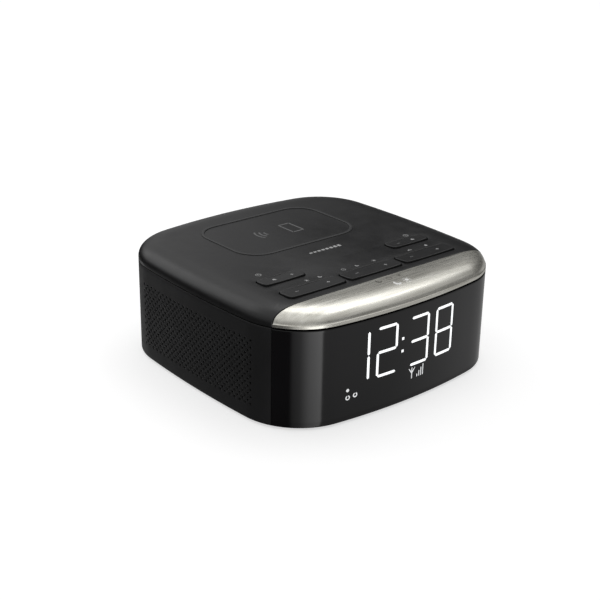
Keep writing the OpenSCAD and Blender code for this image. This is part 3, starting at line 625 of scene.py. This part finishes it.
def grille_backing(side, material):
    """A thin plate close behind the holes, so that no light passes through the casing. Its near-black
    tone is painted shade of the cabinet's inside, seen through the holes.
    """
    inner, outer = WALL + 0.7, WALL + 0.3
    reach_y, reach_z = (COLUMNS + 1) * HALF_PITCH, (ROWS + 1) * HALF_PITCH
    stations = [station(u_at_y(y)) for y in spread(-reach_y, reach_y, 40)]
    loop = [(inset, GRILLE_Z + z) for inset, z in
            ((inner, -reach_z), (outer, -reach_z), (outer, reach_z), (inner, reach_z))]
    columns = [[(side * x, y, z) for x, y, z in (at(st, *step) for step in loop)] for st in stations]
    mesh = Mesh()
    mesh.grid(columns, closed=True)
    mesh.polygon(columns[0])
    mesh.polygon(columns[-1])
    name = "grille_backing_left" if side < 0 else "grille_backing_right"
    return trim(mesh.make(name, material), "cabinet")


def window(material):
    mesh = Mesh()
    stations = both_halves(plan_steps(u_at_y(span("display_window")[1].y), -U_MIDDLE))
    upright_shell(mesh, stations, spread(Z_BASE + 4, Z_SIDE - 2, 16), drop=WINDOW_DROP)
    return stand_in(mesh.make("display_window_shell", material), "display_window")


def cover(material):
    mesh = Mesh()
    cut_shell(mesh, 1, COVER_LOW.y, shoulder(0, SHOULDER_W, SHOULDER_H), KEYS)
    tongue(mesh)
    return stand_in(mesh.make("top_cover_shell", material), "top_cover")


def tongue(mesh):
    """The ring under the cover's edge that fits inside the sides and closes the gap."""
    inner, outer = WALL + 1.5, WALL + 0.3
    z0, z1 = Z_SIDE - 3.4, Z_COVER + 1.2
    stations = both_halves(plan_steps(u_at_y(COVER_LOW.y + 1), U_MIDDLE, step=5))
    loop = [(outer, z0), (outer, z1), (inner, z1), (inner, z0)]
    columns = [[at(st, *step) for step in loop] for st in stations]
    mesh.grid(columns, closed=True)
    for end in (columns[0], columns[-1]):
        mesh.polygon(end)


def bar(material):
    mesh = Mesh()
    cut_shell(mesh, -1, span("snooze_bar")[1].y, bar_profile())
    return stand_in(mesh.make("snooze_bar_shell", material), "snooze_bar")


# ---- Charging ring: a low rounded line on the cover ----


def pad_ring(material):
    low, high = span("charging_ring")
    middle_y = (low.y + high.y) / 2
    w, d = high.x - low.x, high.y - low.y
    proud, line_w, corner, edge = 0.12, 2, 17, 0.3
    top = high.z + proud                # above the CAD's ring, to catch the light
    steps = [(0, low.z)] + [(inset, top - drop) for inset, drop in quarter(edge, 4)]
    steps += [(line_w - inset, z) for inset, z in reversed(steps)]
    rows = []
    for inset, z in steps:
        loop = rounded_loop(w - 2 * inset, d - 2 * inset, corner - inset, 0, middle_y, 24, 16)
        rows.append(lifted(loop, z))
    mesh = Mesh()
    mesh.grid(rows + rows[:1], closed=True)
    return stand_in(mesh.make("charging_ring_line", material), "charging_ring")


# ---- Outlines of the lit and the printed signs, as loops of 2D points ----


def arc(x, y, r, a0, a1, n):
    """Points along an arc, from one angle to another in degrees."""
    turn = spread(math.radians(a0), math.radians(a1), n)
    return [(x + r * math.cos(a), y + r * math.sin(a)) for a in turn]


def line(x0, y0, x1, y1, t, step=2):
    """A straight stroke of width t."""
    length = math.hypot(x1 - x0, y1 - y0)
    ox, oy = -(y1 - y0) / length * t / 2, (x1 - x0) / length * t / 2
    k = spread(0, 1, max(1, round(length / step)))
    left = [(x0 + (x1 - x0) * f + ox, y0 + (y1 - y0) * f + oy) for f in k]
    right = [(x0 + (x1 - x0) * f - ox, y0 + (y1 - y0) * f - oy) for f in reversed(k)]
    return left + right


def bow(x, y, r, a0, a1, t, n=14):
    """A stroke of width t along an arc, from one angle to another in degrees."""
    return arc(x, y, r + t / 2, a0, a1, n) + arc(x, y, r - t / 2, a1, a0, n)


def minus(x, y, s):
    return [line(x - s, y, x + s, y, 0.3 * s)]


def plus(x, y, s):
    h = 0.17
    arm = ((1, -h), (1, h), (h, h))
    turns = ((1, 0), (0, 1), (-1, 0), (0, -1))
    return [[(x + s * (u * a - v * b), y + s * (u * b + v * a)) for a, b in turns for u, v in arm]]


def moon(x, y, s):
    """A crescent that opens to the upper right."""
    outer = arc(x, y, s, 100, 350, 18)
    cx, cy = x + 0.45 * s, y + 0.45 * s
    (ax, ay), (bx, by) = outer[-1], outer[0]
    r = math.hypot(ax - cx, ay - cy)
    a0, a1 = math.atan2(ay - cy, ax - cx), math.atan2(by - cy, bx - cx)
    inner = arc(cx, cy, r, math.degrees(a0) + 360, math.degrees(a1), 14)
    return [outer + inner[1:-1]]


def sun(x, y, s):
    rays = [line(*a, *b, 0.18 * s) for a, b in zip(disc(x, y, 0.68 * s, 8), disc(x, y, s, 8))]
    return [disc(x, y, 0.45 * s, 20), *rays]


def bell(x, y, s):
    dome = [(x + 0.62 * s * math.cos(a), y + (0.15 + 0.7 * math.sin(a)) * s)
            for a in spread(0, math.pi, 12)]
    body = dome + [(x - 0.68 * s, y - 0.35 * s), (x - 0.95 * s, y - 0.6 * s), (x + 0.95 * s, y - 0.6 * s),
                   (x + 0.68 * s, y - 0.35 * s)]
    return [body, disc(x, y - 0.85 * s, 0.2 * s, 12)]


def clock(x, y, s):
    rim = [bow(x, y, s, start, start + 178, 0.22 * s) for start in (0, 180)]
    return rim + [line(x, y - 0.1 * s, x, y + 0.62 * s, 0.2 * s), line(x, y, x + 0.5 * s, y, 0.2 * s)]


def waves(x, y, s):
    """Three arcs that widen to the left, for a wireless link."""
    return [bow(x + s, y, r * s, 145, 215, 0.2 * s) for r in (0.7, 1.25, 1.8)]


def sound(x, y, s):
    cone = [(x - s, y - 0.3 * s), (x - 0.5 * s, y - 0.3 * s), (x, y - 0.75 * s), (x, y + 0.75 * s),
            (x - 0.5 * s, y + 0.3 * s), (x - s, y + 0.3 * s)]
    return [cone] + [bow(x + 0.1 * s, y, r * s, -50, 50, 0.18 * s) for r in (0.5, 0.95)]


def handset(x, y, s):
    """The outline of a phone seen from above."""
    w, d, t = 0.55 * s, s, 0.14 * s
    corners = [(x - w, y - d), (x + w, y - d), (x + w, y + d), (x - w, y + d)]
    return [line(*a, *b, t) for a, b in zip(corners, corners[1:] + corners[:1])]


# ---- Display: seven-stroke digits and small signs, flush with the window ----

DIGIT_W = 15.4
DIGIT_H = 31
STROKE = 1.65
STROKE_GAP = 0.2
DIGIT_Z = Z_BASE + 21.8
DIGIT_X = (-47.3, -27, -2, 19)
COLON_X = -7.6
# Which strokes each digit has: top, upper right, lower right, bottom, lower left, upper left, middle
LIT_STROKES = ((1, 2), (0, 1, 6, 4, 3), (0, 1, 6, 2, 3), range(7))


def digit_strokes(x, z):
    """Loops of the seven strokes of a digit whose lower left corner is given."""
    r, g = STROKE / 2, STROKE_GAP

    def level(z0):
        x0, x1 = r + g, DIGIT_W - r - g
        xs = spread(x0 + r, x1 - r, 4)
        return [(x0, z0), *[(v, z0 + r) for v in xs], (x1, z0), *[(v, z0 - r) for v in reversed(xs)]]

    def upright(x0, z0, z1):
        left, right = x0 - r, x0 + r
        return [(x0, z0), (left, z0 + r), (left, z1 - r), (x0, z1), (right, z1 - r), (right, z0 + r)]

    low, mid, high = (r + g, DIGIT_H / 2 - g), (DIGIT_H / 2 + g, DIGIT_H - r - g), DIGIT_H - r
    loops = [level(high), upright(DIGIT_W - r, *mid), upright(DIGIT_W - r, *low), level(r),
             upright(r, *low), upright(r, *mid), level(DIGIT_H / 2)]
    return [[(x + px, z + pz) for px, pz in loop] for loop in loops]


def digit_loops():
    out = []
    for x, lit in zip(DIGIT_X, LIT_STROKES):
        strokes = digit_strokes(x, DIGIT_Z)
        out += [strokes[k] for k in lit]
    for share in (0.38, 0.63):
        z = DIGIT_Z + share * DIGIT_H
        out.append(line(COLON_X - STROKE / 2, z, COLON_X + STROKE / 2, z, STROKE))
    return out


def indicator_loops():
    """A mast with four rising bars, two small open rings and a dot."""
    t, h, z = 0.65, 7, Z_BASE + 13.6
    mast_x, arm = 0.8, 2.4
    left, right, top = mast_x - t / 2, mast_x + t / 2, z + h
    half = [(right, z), (right, top - arm - 1.2), (mast_x + arm, top - 0.8), (mast_x + arm, top),
            (right, top - arm), (right, top)]
    mirrored = [(left + right - x, height) for x, height in reversed(half)]
    out = [half + mirrored]
    for i in range(4):
        x, bar_top_z = mast_x + 4 + 1.6 * i, z + h * (i + 1) / 4
        out.append([(x, z), (x + t, z), (x + t, bar_top_z), (x, bar_top_z)])
    for x, ring_z in ((-46.2, Z_BASE + 14.8), (-41.2, Z_BASE + 15.4)):
        out.append(bow(x, ring_z, 1.15, 107, 433, 0.7, 20))
    out.append(disc(-46.4, Z_BASE + 19.4, 1, 16))
    return out


def on_window(loops, name, material, node):
    """Thin solids along the front of the window, a hair proud of it."""
    depth, proud = 0.3, 0.04
    mesh = Mesh()
    for loop in loops:
        mesh.prism(loop, lambda x, z: at_x(x, z, depth, -1), lambda x, z: at_x(x, z, -proud, -1))
    return stand_in(mesh.make(name, material), node)


# ---- Prints: thin solids on the cover, the keys and the bar ----

PRINT_T = 0.02
ROOT = 0.1                              # how far a print reaches into the surface


def print_on(loops, height, name, material, node):
    """Closed prints that follow a surface, whose height at (x, y) is height(x, y)."""

    def surface(lift):
        return lambda x, y: (x, y, height(x, y) + lift)

    mesh = Mesh()
    for loop in loops:
        mesh.prism(loop, surface(-ROOT), surface(PRINT_T))
    return trim(mesh.make(name, material), node)


def bar_top(x, y):
    """Height of the bar at a place near its middle, on the shoulder or the flat."""
    inset = y - station(-u_at_x(x))[1]
    profile = bar_profile()
    return along(profile, reach(profile, inset))[1]


# Prints on each key, then on the cover, as (sign, x, y, size)
KEY_PRINTS = {
    "alarm_key_left": [(bell, -55, -32, 1.5), (plus, -42, -32, 1.1)],
    "alarm_key_right": [(bell, 55, -32, 1.5), (minus, 43, -32, 1.1)],
    "rocker_left": [(minus, -56, -53.5, 1.2), (plus, -33, -53.5, 1.2)],
    "rocker_middle": [(minus, -11, -53.5, 1.2), (plus, 11.5, -53.5, 1.2)],
    "rocker_right": [(minus, 33, -53.5, 1.2), (plus, 55, -53.5, 1.2)],
}
COVER_PRINTS = [(clock, -57, -20, 1.6), (clock, 57.6, -23.5, 1.6),
                (sun, -40.5, -43.4, 1.5), (moon, -30.7, -43.4, 1.3),
                (clock, -12.5, -43.4, 1.3), (moon, -2, -43.4, 1.2), (sun, 11.6, -43.4, 1.4),
                (sound, 41, -43.6, 1.4), (bell, 55, -43.6, 1.3)]
BAR_PRINTS = [(moon, -9, -69.5, 2), (clock, -1, -69.5, 1.8), (sun, 7, -69.5, 2.1)]
BAR_WHITE_PRINTS = [(moon, -1.5, -77, 2.4), (sun, 6, -77, 2.8)]
PAD_PRINTS = [(waves, -12, 32.5, 5.6), (handset, 10, 32, 7.5)]


def signs(rows):
    return [loop for make, *where in rows for loop in make(*where)]


def prints(ink, faint_ink, bar_ink, white_ink):

    def flat_top(x, y):
        return Z_TOP

    for key in KEYS:
        print_on(signs(KEY_PRINTS[key.node]), key.top, f"{key.node}_print", ink, key.node)
    print_on(signs(COVER_PRINTS), flat_top, "cover_print", ink, "top_cover")
    print_on(signs(PAD_PRINTS), flat_top, "charging_print", faint_ink, "top_cover")
    pitch, w, first_x, y = 3.2, 2.1, -11, -11.3
    tally = [line(first_x + pitch * i, y, first_x + pitch * i + w, y, 1.5 + 0.2 * i) for i in range(8)]
    print_on(tally, flat_top, "level_print", ink, "top_cover")
    print_on(signs(BAR_PRINTS), bar_top, "snooze_bar_print", bar_ink, "snooze_bar")
    print_on(signs(BAR_WHITE_PRINTS), bar_top, "snooze_bar_sign", white_ink, "snooze_bar")


# ---- Materials ----


def rescale(tree, value, low, high, new_low=0, new_high=1, kind="LINEAR"):
    """A value between low and high becomes one between new_low and new_high."""
    node = tree.nodes.new("ShaderNodeMapRange")
    node.interpolation_type = kind
    limits = {"From Min": low, "From Max": high, "To Min": new_low, "To Max": new_high}
    for name, limit in limits.items():
        node.inputs[name].default_value = limit
    tree.links.new(value, node.inputs["Value"])
    return node.outputs["Result"]


class Paint:
    """A node material: colour, roughness and bump each vary by noise in the piece's own place."""

    def __init__(self, name, color, roughness, metallic=0, specular=0.5):
        self.material = bpy.data.materials.new(name)
        self.material.use_nodes = True
        self.tree = self.material.node_tree
        self.shader = self.tree.nodes["Principled BSDF"]
        self.color = color
        self.shader.inputs["Roughness"].default_value = roughness
        self.shader.inputs["Metallic"].default_value = metallic
        self.shader.inputs["Specular IOR Level"].default_value = specular
        self.material.diffuse_color = (*color, 1)
        self.shader.inputs["Base Color"].default_value = (*color, 1)
        self.normal = None

    def new(self, kind):
        return self.tree.nodes.new(kind)

    def noise(self, size_mm, stretch=(1, 1, 1), detail=3, seed=0):
        """Noise whose blobs are about size_mm across, longer along an axis with a stretch above 1."""
        place = self.new("ShaderNodeTexCoord")
        mapping = self.new("ShaderNodeMapping")
        mapping.inputs["Scale"].default_value = [1 / s for s in stretch]
        mapping.inputs["Location"].default_value = (seed, seed * 0.7, seed * 0.3)
        noise = self.new("ShaderNodeTexNoise")
        noise.inputs["Scale"].default_value = 1 / (size_mm * MM)
        noise.inputs["Detail"].default_value = detail
        self.tree.links.new(place.outputs["Object"], mapping.inputs["Vector"])
        self.tree.links.new(mapping.outputs["Vector"], noise.inputs["Vector"])
        return noise.outputs["Fac"]

    def vary_color(self, fac, other, low=0.35, high=0.65):
        """The colour runs to another one where the noise is high."""
        ramp = self.new("ShaderNodeValToRGB")
        stops = ((low, self.color), (high, other))
        for element, (place, color) in zip(ramp.color_ramp.elements, stops):
            element.position = place
            element.color = (*color, 1)
        self.tree.links.new(fac, ramp.inputs["Fac"])
        self.tree.links.new(ramp.outputs["Color"], self.shader.inputs["Base Color"])
        return ramp.outputs["Color"]

    def vary_roughness(self, fac, low, high):
        """The roughness runs from low to high with the noise's usual range."""
        level = rescale(self.tree, fac, 0.3, 0.7, low, high)
        self.tree.links.new(level, self.shader.inputs["Roughness"])

    def bump(self, fac, depth_mm):
        node = self.new("ShaderNodeBump")
        node.inputs["Distance"].default_value = depth_mm * MM
        self.tree.links.new(fac, node.inputs["Height"])
        if self.normal is not None:
            self.tree.links.new(self.normal, node.inputs["Normal"])
        self.normal = node.outputs["Normal"]
        self.tree.links.new(self.normal, self.shader.inputs["Normal"])

    def glow(self, color_socket, strength):
        self.tree.links.new(color_socket, self.shader.inputs["Emission Color"])
        self.shader.inputs["Emission Strength"].default_value = strength


def moulded(name, color, roughness, specular=0.5, grain_mm=0.25, grain=0.02, contrast=1.25):
    """Moulded plastic: fine spark-eroded grain, slow changes of gloss and tone."""
    paint = Paint(name, color, roughness, specular=specular)
    paint.vary_color(paint.noise(30, detail=4, seed=1), [c * contrast for c in color])
    paint.vary_roughness(paint.noise(9, detail=5, seed=2), roughness - 0.03, roughness + 0.04)
    paint.bump(paint.noise(grain_mm, detail=2, seed=3), grain)
    return paint.material


def brushed_champagne():
    """Metal coating brushed along the bar: long fine streaks in its tone, gloss and surface."""
    paint = Paint("brushed_champagne", (0.58, 0.565, 0.505), 0.36, metallic=0.88)
    fine = paint.noise(0.22, stretch=(90, 1, 1), detail=4, seed=4)
    broad = paint.noise(2.5, stretch=(25, 1, 1), detail=5, seed=5)
    paint.vary_color(broad, (0.8, 0.785, 0.72), 0.32, 0.68)
    paint.vary_roughness(fine, 0.22, 0.38)
    paint.bump(fine, 0.012)
    paint.bump(broad, 0.02)
    return paint.material


def smoked_gloss():
    paint = Paint("smoked_gloss", (0.0045, 0.0045, 0.0048), 0.1, specular=0.4)
    paint.vary_color(paint.noise(60, detail=2, seed=6), (0.0065, 0.006, 0.0068))
    paint.vary_roughness(paint.noise(14, detail=5, seed=7), 0.07, 0.12)
    return paint.material


def lit(name, strength):
    """A light guide that glows white, a little unevenly."""
    paint = Paint(name, (0.85, 0.87, 0.88), 0.5)
    color = paint.vary_color(paint.noise(5, detail=2, seed=8), (0.95, 0.965, 0.97))
    paint.glow(color, strength)
    return paint.material


def ink(name, color):
    paint = Paint(name, color, 0.6, specular=0.3)
    paint.vary_color(paint.noise(0.6, detail=4, seed=9), [c * 0.8 for c in color])
    paint.bump(paint.noise(0.12, seed=10), 0.005)
    return paint.material


def plated(name, color, roughness):
    paint = Paint(name, color, roughness, metallic=1)
    paint.vary_color(paint.noise(4, detail=5, seed=11), [c * 0.8 for c in color])
    paint.vary_roughness(paint.noise(1.2, detail=4, seed=12), roughness - 0.06, roughness + 0.1)
    paint.bump(paint.noise(0.3, stretch=(6, 1, 1), seed=13), 0.01)
    return paint.material


def solder_mask():
    paint = Paint("solder_mask", (0.008, 0.06, 0.024), 0.35)
    traces = paint.noise(2.5, stretch=(4, 1, 1), detail=2, seed=14)
    paint.vary_color(traces, (0.014, 0.1, 0.04), 0.48, 0.52)
    paint.vary_roughness(paint.noise(0.8, seed=15), 0.28, 0.4)
    return paint.material


def wound_copper():
    paint = Paint("wound_copper", (0.5, 0.2, 0.08), 0.3, metallic=0.9)
    paint.vary_color(paint.noise(1, detail=3, seed=16), (0.66, 0.32, 0.15))
    paint.bump(paint.noise(0.2, seed=17), 0.02)
    return paint.material


def paper_pulp():
    paint = Paint("paper_pulp", (0.018, 0.018, 0.019), 0.85, specular=0.2)
    paint.vary_color(paint.noise(1.2, detail=6, seed=18), (0.035, 0.034, 0.033))
    paint.bump(paint.noise(0.5, stretch=(2, 1, 1), detail=6, seed=19), 0.08)
    return paint.material


def soft_rubber(name, color):
    paint = Paint(name, color, 0.75, specular=0.3)
    paint.vary_color(paint.noise(3, detail=5, seed=20), [c * 1.5 for c in color])
    paint.bump(paint.noise(0.4, detail=4, seed=21), 0.03)
    return paint.material


def label_film():
    paint = Paint("label_film", (0.5, 0.5, 0.5), 0.4)
    paint.vary_color(paint.noise(12, detail=3, seed=22), (0.56, 0.56, 0.555))
    paint.bump(paint.noise(1.5, detail=2, seed=23), 0.01)
    return paint.material


SLOT_PAINTS = {
    "satin_black_plastic": moulded("satin_black", (0.011, 0.011, 0.0115), 0.31, 0.42, 0.3, 0.01, 1.2),
    "matte_black_plastic": moulded("matte_black", (0.0115, 0.0115, 0.012), 0.52, 0.4, 0.35, 0.03),
    # The ring's smoother plastic is real. Its tone, twice as light as the cover's, is a painted highlight
    # along the raised line.
    "pad_ring_plastic": moulded("ring_plastic", (0.022, 0.022, 0.023), 0.4, 0.45, grain=0.008),
    "brushed_bar": brushed_champagne(),
    "smoked_window": smoked_gloss(),
    "inner_plastic": moulded("inner_plastic", (0.02, 0.02, 0.021), 0.5),
    "steel": plated("plated_steel", (0.55, 0.55, 0.54), 0.28),
    "circuit_board": solder_mask(),
    "component_plastic": moulded("component_plastic", (0.012, 0.012, 0.012), 0.45),
    "white_plastic": moulded("white_plastic", (0.6, 0.6, 0.56), 0.45, grain=0.01, contrast=1.08),
    "paper_label": label_film(),
    "rubber_feet": soft_rubber("foot_rubber", (0.014, 0.014, 0.014)),
    "copper_winding": wound_copper(),
    "ferrite": moulded("pressed_ferrite", (0.03, 0.03, 0.033), 0.6, grain_mm=0.6, grain=0.04),
    "speaker_basket": moulded("basket_paint", (0.012, 0.012, 0.012), 0.4),
    "paper_cone": paper_pulp(),
    "cone_rubber": soft_rubber("surround_rubber", (0.008, 0.008, 0.008)),
}


# ---- Building the pieces ----

SATIN = SLOT_PAINTS["satin_black_plastic"]
# A dust guard behind the grille holes. Its near-black tone, darker than any other plastic, is painted
# shade of the cabinet's inside.
GUARD_AND_SHADE_PAINT = moulded("backing_with_painted_shade", (0.003, 0.003, 0.003), 0.85, specular=0.1)

cover(SATIN)
bar(SLOT_PAINTS["brushed_bar"])
sides(SLOT_PAINTS["matte_black_plastic"])
for side in (-1, 1):
    grille_backing(side, GUARD_AND_SHADE_PAINT)
window(SLOT_PAINTS["smoked_window"])
pad_ring(SLOT_PAINTS["pad_ring_plastic"])
for key in KEYS:
    key.cap(SATIN)
on_window(digit_loops(), "time_digits", lit("lit_digits", 0.8), "digit_segments")
on_window(indicator_loops(), "display_signs", lit("lit_signs", 0.3), "indicator_segments")
prints(ink("light_ink", (0.45, 0.45, 0.45)), ink("faint_ink", (0.15, 0.15, 0.152)),
       ink("bar_ink", (0.11, 0.105, 0.09)), ink("white_ink", (0.9, 0.9, 0.88)))


def finish_nodes():
    """A material for every CAD node that still shows."""
    for node, obj in frame["nodes"].items():
        if obj.hide_render:
            continue
        obj.data.materials.clear()
        obj.data.materials.append(SLOT_PAINTS[SLOT_OF[node]])


finish_nodes()


# ---- Floor, lights and camera ----


def floor():
    """A pale floor that lets the underside be seen and lit from below."""
    size = 6
    mesh = bpy.data.meshes.new("studio_floor")
    corners = [(-size, -size, 0), (size, -size, 0), (size, size, 0), (-size, size, 0)]
    mesh.from_pydata(corners, [], [(0, 1, 2, 3)])
    obj = bpy.data.objects.new("studio_floor", mesh)
    bpy.context.scene.collection.objects.link(obj)
    paint = Paint("floor_paint", (0.55, 0.55, 0.55), 0.9, specular=0.1)
    paint.vary_color(paint.noise(400, seed=30), (0.57, 0.57, 0.57))
    paint.shader.inputs["Emission Color"].default_value = (1, 1, 1, 1)
    paint.shader.inputs["Emission Strength"].default_value = 0.6
    side = paint.new("ShaderNodeNewGeometry")
    seen = paint.new("ShaderNodeMixShader")
    clear = paint.new("ShaderNodeBsdfTransparent")
    paint.tree.links.new(side.outputs["Backfacing"], seen.inputs["Fac"])
    paint.tree.links.new(paint.shader.outputs["BSDF"], seen.inputs[1])
    paint.tree.links.new(clear.outputs["BSDF"], seen.inputs[2])
    paint.tree.links.new(seen.outputs["Shader"], paint.tree.nodes["Material Output"].inputs["Surface"])
    mesh.materials.append(paint.material)
    obj.visible_glossy = obj.visible_diffuse = obj.visible_shadow = False


def towards(azimuth, elevation):
    """The direction at these angles. Azimuth 0 is in front of the object, and it grows to the right."""
    level = math.cos(elevation)
    return Vector((math.sin(azimuth) * level, -math.cos(azimuth) * level, math.sin(elevation)))


def softbox(name, azimuth, elevation, distance, width, height, power):
    """An area light that faces the middle of the object. Its size and distance are in metres."""
    light = bpy.data.lights.new(name, "AREA")
    light.shape = "RECTANGLE"
    light.size, light.size_y = width, height
    light.energy = power
    obj = bpy.data.objects.new(name, light)
    away = towards(math.radians(azimuth), math.radians(elevation))
    obj.location = Vector((0, 0, 40)) * MM + away * distance
    obj.rotation_mode = "QUATERNION"
    obj.rotation_quaternion = away.to_track_quat("Z", "Y")
    bpy.context.scene.collection.objects.link(obj)
    return obj


# What reflections see of the studio, as (degrees, radiance). Below eye level it changes with the azimuth:
# bright behind, dark at the left, lit from the front left to the front, then a grey room at the right.
AROUND = ((-180, 1.2), (-165, 0.9), (-150, 0.07), (-95, 0.05), (-54, 0.03), (-49, 0.4), (-37, 0.7),
          (-22, 2), (-3, 2.9), (-1, 0.56), (40, 0.5), (65, 0.6), (90, 0.4), (180, 0.3))
FLOORWARDS = ((-90, 0.5), (-30, 0.6), (-24, 1), (0, 1))
UPWARDS = ((0, 0.28), (12, 0.4), (24, 0.48), (40, 0.66), (52, 0.8), (90, 0.85))
EYE_LEVEL = (-0.05, 0.25)               # sines of the elevations between which UPWARDS takes over

# Dark cards that hide a part of the room, each as its cover by azimuth and by elevation
CARD_LEVEL = 0.015
CARDS = (
    (((-180, 1), (-115, 1), (-90, 0), (150, 0), (162, 1), (180, 1)),
     ((-90, 0), (-21, 0), (-15, 1), (5, 1), (12, 0), (90, 0))),
    (((-180, 0), (60, 0), (80, 0.95), (136, 0.95), (147, 0), (180, 0)),
     ((-90, 0), (-2, 0), (4, 1), (30, 1), (38, 0), (90, 0))),
    (((-180, 0), (-35, 0), (-15, 0.9), (20, 0.9), (40, 0.6), (70, 0.9), (90, 0), (180, 0)),
     ((-90, 0), (-12, 0), (-5, 1), (10, 1), (19, 0), (90, 0))),
)


def ramp(tree, value, stops):
    """A colour ramp through (value, level) stops."""
    low, high = stops[0][0], stops[-1][0]
    node = tree.nodes.new("ShaderNodeValToRGB")
    elements = node.color_ramp.elements
    while len(elements) < len(stops):
        elements.new(0.5)
    for element, (at_value, level) in zip(elements, stops):
        element.position = (at_value - low) / (high - low)
        element.color = (level, level, level, 1)
    tree.links.new(rescale(tree, value, low, high), node.inputs["Fac"])
    return node.outputs["Color"]


def feed(tree, socket, value):
    """Sets a socket to a number, or links it to another node's socket."""
    if isinstance(value, (int, float)):
        socket.default_value = value
    else:
        tree.links.new(value, socket)


def math_node(tree, operation, *values):
    node = tree.nodes.new("ShaderNodeMath")
    node.operation = operation
    for socket, value in zip(node.inputs, values):
        feed(tree, socket, value)
    return node.outputs["Value"]


def blend(tree, share, a, b):
    """a where share is 0, b where it is 1."""
    node = tree.nodes.new("ShaderNodeMix")
    for name, value in (("Factor", share), ("A", a), ("B", b)):
        feed(tree, node.inputs[name], value)
    return node.outputs["Result"]


def surroundings():
    """A white room for the camera, and a room of soft grey levels for light and reflections."""
    world = bpy.data.worlds.new("studio")
    bpy.context.scene.world = world
    world.use_nodes = True
    tree = world.node_tree
    place = tree.nodes.new("ShaderNodeTexCoord")
    parts = tree.nodes.new("ShaderNodeSeparateXYZ")
    tree.links.new(place.outputs["Generated"], parts.inputs["Vector"])
    x, y, z = parts.outputs
    forward = math_node(tree, "MULTIPLY", y, -1)
    azimuth = math_node(tree, "DEGREES", math_node(tree, "ARCTAN2", x, forward))
    elevation = math_node(tree, "DEGREES", math_node(tree, "ARCSINE", z))
    share = rescale(tree, z, *EYE_LEVEL, kind="SMOOTHSTEP")
    lower = math_node(tree, "MULTIPLY", ramp(tree, azimuth, AROUND), ramp(tree, elevation, FLOORWARDS))
    room = blend(tree, share, lower, ramp(tree, elevation, UPWARDS))
    for across, upright in CARDS:
        card = math_node(tree, "MULTIPLY", ramp(tree, azimuth, across), ramp(tree, elevation, upright))
        room = blend(tree, card, room, CARD_LEVEL)
    rays = tree.nodes.new("ShaderNodeLightPath")
    seen = blend(tree, rays.outputs["Is Camera Ray"], room, 1)
    tree.links.new(seen, tree.nodes["Background"].inputs["Color"])


def camera():
    """The camera stands off the front left corner, looks down a little and leans slightly to one side."""
    aim = Vector((-5.36, 3.66, 34.45)) * MM
    distance = 0.75499
    azimuth, elevation, roll = [math.radians(v) for v in (-40.259, 22.803, 0.974)]
    back = towards(azimuth, elevation)
    level = Vector((math.cos(azimuth), math.sin(azimuth), 0))
    upward = back.cross(level)
    right = level * math.cos(roll) + upward * math.sin(roll)
    up = upward * math.cos(roll) - level * math.sin(roll)
    data = bpy.data.cameras.new("camera")
    data.lens = 72.587
    data.clip_start, data.clip_end = 0.05, 20
    obj = bpy.data.objects.new("camera", data)
    turn = Matrix((right, up, back)).transposed().to_4x4()
    obj.matrix_world = Matrix.Translation(aim + back * distance) @ turn
    bpy.context.scene.collection.objects.link(obj)
    bpy.context.scene.camera = obj


floor()
surroundings()
camera()
bpy.context.scene.view_settings.view_transform = "Standard"
softbox("overhead", azimuth=112, elevation=62, distance=1.6, width=1.3, height=0.9, power=4.8)
softbox("back_left", azimuth=196, elevation=36, distance=1.5, width=1.1, height=1, power=2.6)
